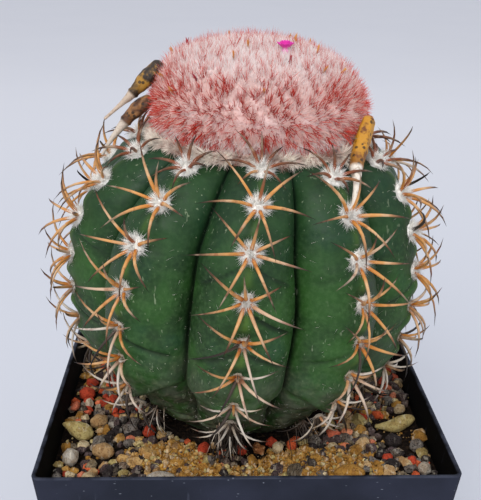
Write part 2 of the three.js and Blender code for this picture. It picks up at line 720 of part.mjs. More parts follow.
function grit(random) {
  const stones = [];
  const across = Math.floor(potWidthAt(GRIT_LEVEL) / STONE_PITCH);
  for (let row = 0; row < across; row++) {
    for (let column = 0; column < across; column++) {
      const x = (column - (across - 1) / 2 + 0.3 * (random() - 0.5)) * STONE_PITCH;
      const y = (row - (across - 1) / 2 + 0.3 * (random() - 0.5)) * STONE_PITCH;
      if (bedStoneFits(x, y)) stones.push(solidFrom(bedStone(x, y, random)));
    }
  }
  const room = filling(STONE_WALL_GAP, GRIT_LEVEL - STONE_SIZE, POT_HEIGHT);
  const top = wasm.Manifold.union(stones).intersect(room);
  return filling(GRIT_GAP, POT_FLOOR, GRIT_LEVEL).add(top).subtract(solidFrom(stemHole()));
}

const cap = new THREE.Group();
cap.position.set(CROWN_SHIFT, 0, STEM_TOP + CAP_GAP);
plant.add(cap);
plant.updateMatrixWorld(true);

// The cap's rounded body, from its flat underside up to its top
const capCurve = new THREE.SplineCurve(profileOf(CAP_LINE));

// How far the cap's dome leans towards -X at a height
function capLean(height) {
  return CAP_LEAN * THREE.MathUtils.smoothstep(height, ...CAP_LEAN_ZONE);
}

function capCore() {
  const profile = [new THREE.Vector2(0, 0), ...capCurve.getSpacedPoints(8), new THREE.Vector2(0, CAP_HEIGHT)];
  const lathe = new THREE.LatheGeometry(profile, CAP_SEGMENTS).rotateX(Math.PI / 2);
  const position = lathe.attributes.position;
  for (let i = 0; i < position.count; i++) position.setX(i, position.getX(i) - capLean(position.getZ(i)));
  return lathe;
}

// The cap's bristles, spread by the golden angle and swept up towards the top; none stands by the flower
function capBristles(random) {
  const goldenAngle = Math.PI * (3 - Math.sqrt(5));
  const flowerFoot = vector(FLOWER_FOOT).applyMatrix4(cap.matrixWorld.clone().invert());
  const bristles = Array.from({ length: BRISTLE_COUNT }, (_, i) => {
    const order = 1 - (1 - (i + 0.5) / BRISTLE_COUNT) ** BRISTLE_CROWDING;
    const share = THREE.MathUtils.lerp(...BRISTLE_RANGE, order);
    const foot = capCurve.getPointAt(share);
    const slope = capCurve.getTangentAt(share);
    const azimuth = i * goldenAngle + 0.2 * (random() - 0.5);
    const radial = new THREE.Vector3(Math.sin(azimuth), -Math.cos(azimuth), 0);
    const root = radial.clone().multiplyScalar(foot.x).setZ(foot.y);
    root.x -= capLean(foot.y);
    const along = radial.clone().multiplyScalar(slope.y).setZ(BRISTLE_UPSWEEP * (0.5 + random()) - slope.x);
    along.normalize();
    const tip = root.clone().addScaledVector(along, BRISTLE_LENGTH * (0.75 + 0.45 * random()));
    return { root: root.addScaledVector(along, -BRISTLE_SINK), tip };
  });
  const awayFromFlower = ({ tip }) => Math.hypot(tip.x - flowerFoot.x, tip.y - flowerFoot.y) > FLOWER_WIDTH;
  const standing = bristles.filter(awayFromFlower);
  return standing.map(({ root, tip }) => solidFrom(needle(root, tip, BRISTLE_RADIUS)));
}

// A solid cut by pieces given in the pot's frame, each widened by the seat gap
function seated(solid, group, cutters) {
  const back = group.matrixWorld.clone().invert();
  return cutters.reduce((cut, cutter) => cut.subtract(solidFrom(cutter.applyMatrix4(back))), solid);
}

function flowerTube(margin = 0) {
  const radius = FLOWER_TUBE_RADIUS + margin;
  const tube = new THREE.CylinderGeometry(radius, radius, FLOWER_TUBE_LENGTH + 2 * margin, 8);
  tube.rotateX(Math.PI / 2);
  tube.translate(0, 0, FLOWER_TUBE_LENGTH / 2);
  tube.translate(...FLOWER_FOOT);
  return tube;
}

function flower() {
  const pieces = [solidFrom(flowerTube())];
  for (let i = 0; i < PETAL_COUNT; i++) {
    const outline = new THREE.Shape();
    const length = FLOWER_WIDTH / 2;
    outline.moveTo(0, -PETAL_WIDTH / 3);
    outline.quadraticCurveTo(0.75 * length, -PETAL_WIDTH, length, 0);
    outline.quadraticCurveTo(0.75 * length, PETAL_WIDTH, 0, PETAL_WIDTH / 3);
    const petal = new THREE.ExtrudeGeometry(outline, {
      depth: PETAL_THICKNESS,
      bevelEnabled: false,
      curveSegments: 3,
    });
    petal.rotateY(-rad(PETAL_SPREADS[i % 2]));
    petal.rotateZ((i * 2 * Math.PI) / PETAL_COUNT);
    petal.translate(0, 0, FLOWER_TUBE_LENGTH - 1.2 * PETAL_THICKNESS);
    petal.translate(...FLOWER_FOOT);
    pieces.push(solidFrom(petal));
  }
  return wasm.Manifold.union(pieces);
}

const fruitCutters = (names) =>
  names.map((name) => stalkAndPod(FRUITS[name].path, FRUITS[name].radii, SEAT_GAP));

const potted = new THREE.Group();
potted.add(meshFrom("pot", pot(), "#2d303d", 0.55));

const singles = { ...PEBBLES, dry_husk: HUSK };
let bed = grit(randomStream(SEED));
Object.entries(singles).forEach(([name, single], i) => {
  const height = GRIT_LEVEL + PEBBLE_LIFT;
  bed = bed.subtract(solidFrom(pebble(single, height, randomStream(SEED + i), GRIT_GAP)));
  potted.add(meshFrom(name, solidFrom(pebble(single, height, randomStream(SEED + i))), single.colour, 0.85));
});
potted.add(meshFrom("grit", bed, "#8c6f4b", 0.95));

const grownStem = stem(randomStream(SEED + 100));
const seatedStem = seated(grownStem, plant, fruitCutters(["dried_fruit_right", "dried_fruit_left_lower"]));
plant.add(meshFrom("stem", seatedStem, "#3c5f38", 0.6));

const capSolid = wasm.Manifold.union([solidFrom(capCore()), ...capBristles(randomStream(SEED + 200))]);
const capCutters = [flowerTube(SEAT_GAP), ...fruitCutters(Object.keys(FRUITS))];
cap.add(meshFrom("cephalium", seated(capSolid, cap, capCutters), "#c58f88", 0.95));
potted.add(plant);

potted.add(meshFrom("flower", flower(), "#d674ad", 0.6));
Object.entries(FRUITS).forEach(([name, { path, radii, colour }]) => {
  potted.add(meshFrom(name, solidFrom(stalkAndPod(path, radii)), colour, 0.5));
});

export default potted;
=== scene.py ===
"""A turk's cap cactus in a square plastic pot of grit, dressed in the frame of its solids."""

from __future__ import annotations

import logging
import math
from dataclasses import dataclass, field, replace
from enum import Enum
from typing import Callable, Iterable, Sequence

import bpy
import numpy as np
from mathutils import Euler, Matrix, Vector, noise


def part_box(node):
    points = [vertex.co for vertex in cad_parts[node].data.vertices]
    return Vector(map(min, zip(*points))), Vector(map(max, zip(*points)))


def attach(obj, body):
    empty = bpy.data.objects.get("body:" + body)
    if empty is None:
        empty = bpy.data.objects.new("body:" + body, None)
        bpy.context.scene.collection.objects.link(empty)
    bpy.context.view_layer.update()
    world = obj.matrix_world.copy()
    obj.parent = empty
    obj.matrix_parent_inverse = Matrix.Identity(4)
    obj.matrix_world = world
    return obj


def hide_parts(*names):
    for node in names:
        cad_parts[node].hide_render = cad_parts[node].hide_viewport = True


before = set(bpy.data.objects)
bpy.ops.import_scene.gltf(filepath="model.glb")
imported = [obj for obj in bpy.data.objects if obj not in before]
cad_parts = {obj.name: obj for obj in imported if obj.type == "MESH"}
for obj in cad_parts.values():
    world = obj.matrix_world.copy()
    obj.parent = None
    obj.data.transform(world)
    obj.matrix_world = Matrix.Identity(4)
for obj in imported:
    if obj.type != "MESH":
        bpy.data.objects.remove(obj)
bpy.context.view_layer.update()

MM = 0.001
log = logging.getLogger("cactus")

Triple = tuple[float, float, float]
Points = np.ndarray


# Numbers and places


def smooth(values: Points, low: float, high: float) -> Points:
    """Share of the way from low to high, eased at both ends."""
    share = np.clip((np.asarray(values, float) - low) / (high - low), 0, 1)
    return share * share * (3 - 2 * share)


def mixed(low: Points, high: Points, share: Points) -> Points:
    """A value between two others."""
    return low + (high - low) * share


def unit(vectors: Points) -> Points:
    """Vectors of length 1 in the directions of those given."""
    return vectors / np.linalg.norm(vectors, axis=-1, keepdims=True)


def ripple(points: Points, size: float, seed: float = 0.0) -> Points:
    """Smooth noise from -1 to 1 at each point.

    Args:
        points: Places in millimetres, one a row.
        size: Width of one wave in millimetres.
        seed: Shift that gives another pattern.

    Returns:
        One value for each point.
    """
    shifted = np.asarray(points, float) / size + seed
    return np.array([noise.noise(Vector(place)) for place in shifted])


def spline(line: Sequence[Sequence[float]], steps: int = 1200) -> tuple[Points, Points]:
    """An even curve through a line of points.

    Args:
        line: The points that the curve passes through.
        steps: How many samples it gets.

    Returns:
        The samples, and their distances along the curve.
    """
    knots = np.array(line, float)
    place = np.linspace(0, len(knots) - 1, steps)
    start = np.minimum(place.astype(int), len(knots) - 2)
    share = (place - start)[:, None]
    before, here = knots[np.maximum(start - 1, 0)], knots[start]
    there, after = knots[start + 1], knots[np.minimum(start + 2, len(knots) - 1)]
    leave, arrive = (there - before) / 2, (after - here) / 2
    samples = (
        (2 * here - 2 * there + leave + arrive) * share**3
        + (3 * there - 3 * here - 2 * leave - arrive) * share**2
        + leave * share
        + here
    )
    steps_long = np.linalg.norm(np.diff(samples, axis=0), axis=1)
    return samples, np.concatenate([[0], np.cumsum(steps_long)])


class Stream:
    """A repeatable stream of numbers from 0 to 1, the one that shaped the solids."""

    def __init__(self, seed: int) -> None:
        """Starts the stream at a seed."""
        self.state = seed & 0xFFFFFFFF

    def __call__(self) -> float:
        """The next number."""
        self.state = (self.state + 0x6D2B79F5) & 0xFFFFFFFF
        t = self.state
        t = ((t ^ (t >> 15)) * (t | 1)) & 0xFFFFFFFF
        t ^= (t + (((t ^ (t >> 7)) * (t | 61)) & 0xFFFFFFFF)) & 0xFFFFFFFF
        return ((t ^ (t >> 14)) & 0xFFFFFFFF) / 4294967296


# Meshes


def deselect() -> None:
    """Leaves nothing selected."""
    bpy.ops.object.select_all(action="DESELECT")


def only(piece: bpy.types.Object) -> None:
    """Selects one piece and makes it active."""
    deselect()
    piece.select_set(True)
    bpy.context.view_layer.objects.active = piece


def points_of(piece: bpy.types.Object) -> Points:
    """A mesh piece's vertices, one a row."""
    flat = np.empty(3 * len(piece.data.vertices))
    piece.data.vertices.foreach_get("co", flat)
    return flat.reshape(-1, 3)


def move_points(piece: bpy.types.Object, points: Points) -> None:
    """Puts a mesh piece's vertices at the given places."""
    piece.data.vertices.foreach_set("co", np.asarray(points, float).ravel())
    piece.data.update()


def mark(piece: bpy.types.Object, name: str, values: Points) -> None:
    """Keeps a number at each vertex for the material to read."""
    attribute = piece.data.attributes.new(name, "FLOAT", "POINT")
    attribute.data.foreach_set("value", np.asarray(values, np.float32))


def edit(piece: bpy.types.Object, *steps: Callable[[], object]) -> None:
    """Runs edit-mode operators on all of a piece."""
    only(piece)
    bpy.ops.object.mode_set(mode="EDIT")
    bpy.ops.mesh.select_all(action="SELECT")
    for step in steps:
        step()
    bpy.ops.object.mode_set(mode="OBJECT")


def merge() -> None:
    """Joins vertices that lie in one place."""
    bpy.ops.mesh.remove_doubles(threshold=1e-7)


def face_out() -> None:
    """Turns all faces outwards."""
    bpy.ops.mesh.normals_make_consistent(inside=False)


def apply_modifier(piece: bpy.types.Object, kind: str, **settings: object) -> None:
    """Adds a modifier with its settings and applies it."""
    only(piece)
    modifier = piece.modifiers.new(kind.title(), kind)
    for name, value in settings.items():
        setattr(modifier, name, value)
    bpy.ops.object.modifier_apply(modifier=modifier.name)


def shade(piece: bpy.types.Object, angle: float = 180.0) -> None:
    """Shades a piece smooth, but for edges sharper than an angle in degrees."""
    only(piece)
    bpy.ops.object.shade_smooth_by_angle(angle=math.radians(angle))


def wrapped_grid(
    name: str,
    columns: int,
    rows: int,
    place: Callable[[Points, Points], Points],
    marks: dict[str, Callable[[Points, Points], Points]] | None = None,
) -> bpy.types.Object:
    """A closed skin bent out of a flat grid, whose sides meet in a seam and whose ends meet in poles.

    Args:
        name: The piece's name.
        columns: Faces round it.
        rows: Faces from pole to pole.
        place: Gives millimetres for shares round and along.
        marks: Numbers to keep at the vertices, by name.

    Returns:
        The piece, smooth and facing out.
    """
    deselect()
    bpy.ops.mesh.primitive_grid_add(x_subdivisions=columns, y_subdivisions=rows, size=2)
    piece = bpy.context.object
    piece.name = name
    flat = points_of(piece)
    round_share, along_share = (flat[:, 0] + 1) / 2, (flat[:, 1] + 1) / 2
    for label, values in (marks or {}).items():
        mark(piece, label, values(round_share, along_share))
    move_points(piece, place(round_share, along_share) * MM)
    edit(piece, merge, face_out)
    shade(piece)
    return piece


@dataclass
class Shape:
    """A modelled shape's corners and three-sided faces, for copying."""

    points: Points
    faces: Points

    @classmethod
    def lifted(cls, piece: bpy.types.Object) -> Shape:
        """Takes the mesh of a piece and removes the piece."""
        edit(piece, bpy.ops.mesh.quads_convert_to_tris)
        points = points_of(piece)
        corners = np.empty(3 * len(piece.data.polygons), int)
        piece.data.polygons.foreach_get("vertices", corners)
        mesh = piece.data
        bpy.data.objects.remove(piece)
        bpy.data.meshes.remove(mesh)
        return cls(points, corners.reshape(-1, 3))


def strand_shape(sides: int, stations: Sequence[float], profile: Callable[[Points], Points]) -> Shape:
    """A straight strand along Z from 0 to 1, cut into stretches, with its own profile.

    Args:
        sides: Sides of its section.
        stations: Heights at which it can bend.
        profile: Gives the radius at a height, as a share of the radius at its root.

    Returns:
        The strand's shape.
    """
    deselect()
    bpy.ops.mesh.primitive_cone_add(vertices=sides, radius1=1, radius2=0, depth=1, location=(0, 0, 0.5))
    piece = bpy.context.object
    bpy.ops.object.transform_apply(location=True)
    for height in stations:
        edit(piece, lambda: bpy.ops.mesh.bisect(plane_co=(0, 0, height), plane_no=(0, 0, 1)))
    shape = Shape.lifted(piece)
    along = shape.points[:, 2]
    width = np.hypot(shape.points[:, 0], shape.points[:, 1])
    scale = np.where(width > 1e-6, profile(along) / np.maximum(width, 1e-6), 0)
    shape.points[:, :2] *= scale[:, None]
    return shape


def stone_shape(seed: int, fineness: int) -> Shape:
    """A broken stone of about unit size: a ball with flat faces cut from it.

    Args:
        seed: Chooses the cuts.
        fineness: Divisions of the ball, where 1 gives a rough chip.

    Returns:
        The stone's shape.
    """
    chance = np.random.default_rng(seed)
    deselect()
    bpy.ops.mesh.primitive_ico_sphere_add(subdivisions=fineness, radius=0.66)
    piece = bpy.context.object
    for _ in range(6):
        normal = unit(chance.normal(size=3))
        depth = chance.uniform(0.32, 0.46)
        cut = dict(plane_co=tuple(normal * depth), plane_no=tuple(normal), use_fill=True, clear_outer=True)
        edit(piece, lambda: bpy.ops.mesh.bisect(**cut))
    shape = Shape.lifted(piece)
    shape.points += ripple(shape.points, 0.4, seed)[:, None] * unit(shape.points) * 0.16
    return shape


class Crowd:
    """Many copies of shapes gathered into one mesh, with numbers kept at their vertices."""

    def __init__(self) -> None:
        """Starts empty."""
        self.points: list[Points] = []
        self.faces: list[Points] = []
        self.marks: dict[str, list[Points]] = {}
        self.total = 0

    def add(self, copies: Points, faces: Points, **marks: Points) -> None:
        """Adds copies of one shape.

        Args:
            copies: Corners in millimetres, copy by corner by axis.
            faces: The shape's own faces.
            marks: Numbers, copy by corner, by name.
        """
        count, corners, _ = copies.shape
        starts = self.total + corners * np.arange(count)
        self.points.append(copies.reshape(-1, 3))
        self.faces.append((faces[None] + starts[:, None, None]).reshape(-1, 3))
        for name, values in marks.items():
            spread = np.broadcast_to(values, (count, corners))
            self.marks.setdefault(name, []).append(spread.reshape(-1))
        self.total += count * corners

    def add_strands(
        self, shape: Shape, path: tuple[Points, Points, Points], radius: Points, tone: Points
    ) -> None:
        """Adds a strand along each of many bent paths.

        Args:
            shape: The straight strand.
            path: Roots, bends and tips in millimetres, one a row each.
            radius: Radius at each root.
            tone: A number for each strand.
        """
        root, bend, tip = (part[:, None, :] for part in path)
        along = shape.points[:, 2][None, :, None]
        centre = (1 - along) ** 2 * root + 2 * (1 - along) * along * bend + along**2 * tip
        chord = unit(path[2] - path[0])
        helper = np.where(np.abs(chord[:, 2:]) < 0.9, [[0.0, 0.0, 1.0]], [[1.0, 0.0, 0.0]])
        first = unit(np.cross(helper, chord))[:, None, :]
        second = np.cross(chord, first[:, 0])[:, None, :]
        wide = np.asarray(radius, float)[:, None, None]
        arms = first * shape.points[:, 0][None, :, None] + second * shape.points[:, 1][None, :, None]
        self.add(centre + arms * wide, shape.faces, along=along[..., 0], tone=np.asarray(tone)[:, None])

    def piece(self, name: str) -> bpy.types.Object:
        """Makes the mesh of all that was added."""
        mesh = bpy.data.meshes.new(name)
        mesh.from_pydata(np.concatenate(self.points) * MM, [], np.concatenate(self.faces))
        mesh.update()
        piece = bpy.data.objects.new(name, mesh)
        bpy.context.collection.objects.link(piece)
        for label, values in self.marks.items():
            mark(piece, label, np.concatenate(values))
        return piece


# Materials


def paint(red: int, green: int, blue: int) -> tuple[float, float, float, float]:
    """A screen colour, 0 to 255, as the shader's own light values."""
    parts = [c / 255 for c in (red, green, blue)]
    linear = [c / 12.92 if c <= 0.04045 else ((c + 0.055) / 1.055) ** 2.4 for c in parts]
    return (*linear, 1.0)


class Value:
    """A number inside a material, with Python's signs for its sums."""

    def __init__(self, graph: Graph, socket: bpy.types.NodeSocket) -> None:
        """Wraps a socket of a graph."""
        self.graph = graph
        self.socket = socket

    def __add__(self, other: Number) -> Value:
        """Sum."""
        return self.graph.math("ADD", self, other)

    def __radd__(self, other: Number) -> Value:
        """Sum, from the right."""
        return self.graph.math("ADD", other, self)

    def __sub__(self, other: Number) -> Value:
        """Difference."""
        return self.graph.math("SUBTRACT", self, other)

    def __rsub__(self, other: Number) -> Value:
        """Difference, from the right."""
        return self.graph.math("SUBTRACT", other, self)

    def __mul__(self, other: Number) -> Value:
        """Product."""
        return self.graph.math("MULTIPLY", self, other)

    def __rmul__(self, other: Number) -> Value:
        """Product, from the right."""
        return self.graph.math("MULTIPLY", other, self)

    def __truediv__(self, other: Number) -> Value:
        """Quotient."""
        return self.graph.math("DIVIDE", self, other)

    def __pow__(self, other: Number) -> Value:
        """Power."""
        return self.graph.math("POWER", self, other)

    def between(self, low: float, high: float) -> Value:
        """Share of the way from low to high, held to 0 and 1 and eased."""
        settings = {"interpolation_type": "SMOOTHSTEP"}
        inputs = {"Value": self, "From Min": low, "From Max": high}
        node = self.graph.node("ShaderNodeMapRange", settings, inputs)
        return Value(self.graph, node.outputs["Result"])


Number = Value | float | int
Colour = bpy.types.NodeSocket | tuple[float, float, float, float]


class Graph:
    """The nodes of one material, added a call at a time."""

    def __init__(self, name: str) -> None:
        """Starts a material with its surface shader."""
        self.material = bpy.data.materials.new(name)
        self.material.use_nodes = True
        self.tree = self.material.node_tree
        self.tree.nodes.clear()
        self.shader = self.node("ShaderNodeBsdfPrincipled")
        self.node("ShaderNodeOutputMaterial", {}, {"Surface": self.shader.outputs["BSDF"]})
        self.place = self.node("ShaderNodeTexCoord").outputs["Object"]

    def node(
        self,
        kind: str,
        settings: dict[str, object] | None = None,
        inputs: dict[str | int, object] | None = None,
    ) -> bpy.types.Node:
        """Adds a node.

        Args:
            kind: The node's type.
            settings: Its own settings, with a ramp's stops under "stops".
            inputs: Values or links of its sockets, by name or number.

        Returns:
            The node.
        """
        made = self.tree.nodes.new(kind)
        for name, value in (settings or {}).items():
            if name == "stops":
                self._set_stops(made, value)
            else:
                setattr(made, name, value)
        for name, value in (inputs or {}).items():
            self.feed(made, name, value)
        return made

    def feed(self, node: bpy.types.Node, name: str | int, value: object) -> None:
        """Sets or links one socket of a node."""
        if isinstance(value, Value):
            value = value.socket
        if isinstance(value, bpy.types.NodeSocket):
            self.tree.links.new(value, node.inputs[name])
        else:
            node.inputs[name].default_value = value

    @staticmethod
    def _set_stops(ramp: bpy.types.Node, stops: Sequence[tuple[float, Sequence[float]]]) -> None:
        """Gives a ramp its places and colours."""
        elements = ramp.color_ramp.elements
        while len(elements) < len(stops):
            elements.new(0.5)
        for element, (place, colour) in zip(elements, stops):
            element.position = place
            element.color = colour

    def math(self, operation: str, first: Number, second: Number = 0.0) -> Value:
        """A sum of two numbers."""
        made = self.node("ShaderNodeMath", {"operation": operation}, {0: first, 1: second})
        return Value(self, made.outputs[0])

    def ramp(
        self, value: Value, stops: Sequence[tuple[float, Sequence[float]]], steps: bool = False
    ) -> Colour:
        """Colours along a number.

        Args:
            value: The number.
            stops: Places from 0 to 1 with their colours.
            steps: Whether the colours change at once, without a blend.

        Returns:
            The colour's socket.
        """
        made = self.node("ShaderNodeValToRGB", {"stops": stops}, {"Fac": value})
        made.color_ramp.interpolation = "CONSTANT" if steps else "LINEAR"
        return made.outputs["Color"]

    def mix(self, share: Number, first: Colour, second: Colour, blend: str = "MIX") -> Colour:
        """One colour laid over another by a share."""
        settings = {"data_type": "RGBA", "blend_type": blend}
        return self.node("ShaderNodeMix", settings, {0: share, 6: first, 7: second}).outputs[2]

    def scaled(self, stretch: Triple) -> bpy.types.NodeSocket:
        """The object's coordinates, stretched along each axis."""
        return self.node("ShaderNodeMapping", {}, {"Vector": self.place, "Scale": stretch}).outputs["Vector"]

    def axis(self, name: str) -> Value:
        """One of the object's coordinates, in metres."""
        return Value(self, self.node("ShaderNodeSeparateXYZ", {}, {0: self.place}).outputs[name])

    def attribute(self, name: str) -> Value:
        """A number that the mesh keeps at its vertices."""
        return Value(self, self.node("ShaderNodeAttribute", {"attribute_name": name}).outputs["Fac"])

    def noise(self, wave: float, detail: float = 3.0, where: bpy.types.NodeSocket | None = None) -> Value:
        """Cloudy noise from 0 to 1 with waves of a width in millimetres."""
        inputs = {"Vector": where or self.place, "Scale": 1 / (wave * MM), "Detail": detail}
        return Value(self, self.node("ShaderNodeTexNoise", {}, inputs).outputs["Fac"])

    def specks(self, spacing: float, where: bpy.types.NodeSocket | None = None) -> Value:
        """Distance to the nearest of scattered points, as a share of their spacing in millimetres."""
        inputs = {"Vector": where or self.place, "Scale": 1 / (spacing * MM)}
        return Value(self, self.node("ShaderNodeTexVoronoi", {}, inputs).outputs["Distance"])

    def bump(self, height: Value, depth: float, strength: float = 1.0) -> bpy.types.NodeSocket:
        """Relief of a depth in millimetres."""
        inputs = {"Height": height, "Distance": depth * MM, "Strength": strength}
        return self.node("ShaderNodeBump", {}, inputs).outputs["Normal"]

    def finish(
        self,
        colour: Colour,
        roughness: Number,
        normal: Colour | None = None,
        fixed: dict[str, float] | None = None,
    ) -> bpy.types.Material:
        """Feeds the surface shader.

        Args:
            colour: Base colour.
            roughness: Roughness.
            normal: Relief, where there is any.
            fixed: Constants of the shader's own sockets, by name.

        Returns:
            The material.
        """
        inputs = {"Base Color": colour, "Roughness": roughness, **(fixed or {})}
        if normal is not None:
            inputs["Normal"] = normal
        for name, value in inputs.items():
            self.feed(self.shader, name, value)
        return self.material


@dataclass(frozen=True)
class PlasticFinish:
    """Near-black satin plastic with dust, fine scratches and a worn edge; dull inside, where painted shade
    makes it almost black.
    """

    ground: tuple = paint(31, 34, 44)
    cloudy: tuple = paint(41, 44, 57)
    # Painted shade for the inner walls.
    inside: tuple = paint(2, 2, 2)
    worn: tuple = paint(70, 74, 88)
    dust: tuple = paint(165, 172, 184)
    rim_height: float = 130.0

    def material(self) -> bpy.types.Material:
        """Builds the material."""
        g = Graph("pot_plastic")
        inner = g.attribute("inner")
        clouds = g.noise(26)
        colour = g.mix(clouds.between(0.35, 0.7), self.ground, self.cloudy)
        # Painted shade: the inner walls are painted almost black.
        colour = g.mix(inner, colour, self.inside)
        edge = g.axis("Z").between((self.rim_height - 0.7) * MM, (self.rim_height - 0.1) * MM)
        colour = g.mix(edge * 0.6 * g.noise(7).between(0.3, 0.65), colour, self.worn)
        scratch = g.noise(2.2, 5, g.scaled((1.0, 1.0, 0.12))).between(0.66, 0.74)
        colour = g.mix(scratch * 0.3, colour, self.worn)
        dots = (1 - g.specks(3.4).between(0.05, 0.11)) * g.noise(9).between(0.45, 0.65)
        fluff = 1 - g.specks(9.0, g.scaled((1.0, 1.0, 3.2))).between(0.03, 0.07)
        colour = g.mix((dots * 0.32 + fluff * 0.38) * (1 - inner), colour, self.dust)
        rough = 0.42 + clouds * 0.16 + dots * 0.2 + inner * 0.3
        relief = g.bump(g.noise(0.9, 4) + scratch * 0.4, 0.05)
        return g.finish(colour, rough, relief, {"Specular IOR Level": 0.08})


@dataclass(frozen=True)
class SkinFinish:
    """Deep green skin with a paler crest that is partly a painted highlight, painted shade in its creases,
    its grooves and under the cap, mottles, dust, fine hair scars and a corky foot.
    """

    deep: tuple = paint(27, 52, 22)
    mid: tuple = paint(42, 80, 30)
    blue: tuple = paint(32, 68, 42)
    bright: tuple = paint(84, 116, 40)
    shade: tuple = paint(9, 19, 8)
    cork: tuple = paint(92, 90, 70)
    teal: tuple = paint(22, 48, 32)
    haze: tuple = paint(92, 104, 84)
    dust: tuple = paint(170, 184, 150)

    def material(self) -> bpy.types.Material:
        """Builds the material."""
        g = Graph("cactus_skin")
        flank, foot, chin, fold = (g.attribute(name) for name in ("flank", "foot", "chin", "fold"))
        clouds, middle, fine = g.noise(17, 4), g.noise(5, 4), g.noise(1.6, 5)
        colour = g.mix(clouds.between(0.35, 0.66), self.deep, self.mid)
        colour = g.mix(g.noise(24, 3).between(0.5, 0.68) * (1 - foot) * 0.7, colour, self.blue)
        colour = g.mix(middle.between(0.5, 0.78) * 0.3, colour, self.deep)
        # The paler crest is partly its own colour and partly a painted highlight on the swelling below each
        # areole.
        crest = (1 - flank.between(0.0, 0.2)) * chin.between(-0.6, 0.9)
        colour = g.mix(crest * 0.66, colour, self.bright)
        grain = fine.between(0.38, 0.72)
        colour = g.mix(grain * 0.22, colour, paint(82, 116, 70))
        # Painted shade in the creases below the areoles and in the grooves between the ribs.
        colour = g.mix(fold.between(0.15, 0.9) * 0.7, colour, self.shade)
        colour = g.mix(flank.between(0.94, 0.995) * 0.85, colour, self.shade)
        patches = foot * g.noise(6, 5).between(0.36, 0.58)
        colour = g.mix(patches * 0.9, colour, g.mix(grain, paint(56, 60, 44), self.cork))
        # Painted shade: the upper body turns a darker blue-green towards the cap.
        colour = g.mix(g.axis("Z").between(0.185, 0.222) * 0.55, colour, self.teal)
        low = 1 - g.axis("Z").between(0.132, 0.182)
        colour = g.mix(low * g.noise(9, 4).between(0.42, 0.62) * 0.45, colour, self.haze)
        specks = (1 - g.specks(2.6).between(0.05, 0.12)) * g.noise(12).between(0.42, 0.6)
        fibres = g.noise(1.5, 2, g.scaled((1.0, 1.0, 0.35))).between(0.66, 0.71)
        hairs = fibres * g.noise(20).between(0.4, 0.6)
        colour = g.mix(specks * 0.5 + hairs * 0.3, colour, self.dust)
        height = fine * 0.6 + middle * 0.8 + hairs * 0.3 + patches * 0.8
        rough = 0.4 + clouds * 0.2 + patches * 0.35 + grain * 0.1
        return g.finish(colour, rough, g.bump(height, 0.3, 0.75), {"Specular IOR Level": 0.24})


@dataclass(frozen=True)
class SpineFinish:
    """Horn-like spines: red-brown when new, then tan, chalky when old, all with dark tips."""

    new: tuple = (
        (0, paint(150, 62, 26)),
        (0.25, paint(134, 72, 42)),
        (0.6, paint(96, 64, 46)),
        (0.9, paint(24, 17, 16)),
    )
    tan: tuple = (
        (0, paint(168, 86, 24)),
        (0.16, paint(192, 120, 44)),
        (0.4, paint(204, 150, 90)),
        (0.6, paint(172, 128, 88)),
        (0.77, paint(84, 58, 40)),
        (0.95, paint(20, 14, 13)),
    )
    old: tuple = (
        (0, paint(148, 124, 98)),
        (0.3, paint(204, 194, 180)),
        (0.62, paint(190, 178, 164)),
        (0.82, paint(96, 82, 72)),
        (1, paint(40, 33, 30)),
    )
    dead: tuple = ((0, paint(78, 66, 56)), (0.5, paint(46, 38, 33)), (1, paint(22, 18, 17)))

    def material(self) -> bpy.types.Material:
        """Builds the material."""
        g = Graph("spine_horn")
        along, tone = g.attribute("along"), g.attribute("tone")
        colour = g.mix(tone.between(0.05, 0.28), g.ramp(along, self.new), g.ramp(along, self.tan))
        colour = g.mix(tone.between(0.62, 0.84), colour, g.ramp(along, self.old))
        streaks = g.noise(2.6, 4, g.scaled((1.0, 1.0, 0.5))).between(0.54, 0.66)
        colour = g.mix(streaks * 0.45, colour, paint(126, 66, 40))
        bands = g.noise(5.5, 2).between(0.5, 0.68)
        colour = g.mix(bands * 0.35, colour, paint(214, 194, 164))
        colour = g.mix(tone.between(0.93, 0.97), colour, g.ramp(along, self.dead))
        return g.finish(colour, 0.48, g.bump(g.noise(0.5, 3), 0.06), {"Specular IOR Level": 0.25})


@dataclass(frozen=True)
class WoolFinish:
    """Soft matt wool, from one colour at its lowest tone to another at its highest."""

    name: str
    low: tuple
    high: tuple
    root_shade: float = 0.35

    def material(self) -> bpy.types.Material:
        """Builds the material."""
        g = Graph(self.name)
        along, tone = g.attribute("along"), g.attribute("tone")
        colour = g.ramp(tone, [(0, self.low), (1, self.high)])
        shade_share = (1 - along.between(0.0, 0.55)) * self.root_shade
        colour = g.mix(shade_share, colour, paint(96, 74, 66), "MULTIPLY")
        return g.finish(colour, 0.9, None, {"Specular IOR Level": 0.15, "Sheen Weight": 0.25})


@dataclass(frozen=True)
class BristleFinish:
    """Stiff bristles, from pink at a low tone to deep red at a high one, paler at their tips."""

    pale: tuple = ((0, paint(200, 120, 108)), (0.5, paint(212, 152, 146)), (1, paint(226, 200, 198)))
    deep: tuple = ((0, paint(158, 26, 10)), (0.75, paint(200, 44, 22)), (1, paint(214, 96, 72)))

    def material(self) -> bpy.types.Material:
        """Builds the material."""
        g = Graph("cap_bristle")
        along, tone = g.attribute("along"), g.attribute("tone")
        colour = g.mix(tone.between(0.2, 0.6), g.ramp(along, self.pale), g.ramp(along, self.deep))
        return g.finish(colour, 0.55, None, {"Specular IOR Level": 0.3})


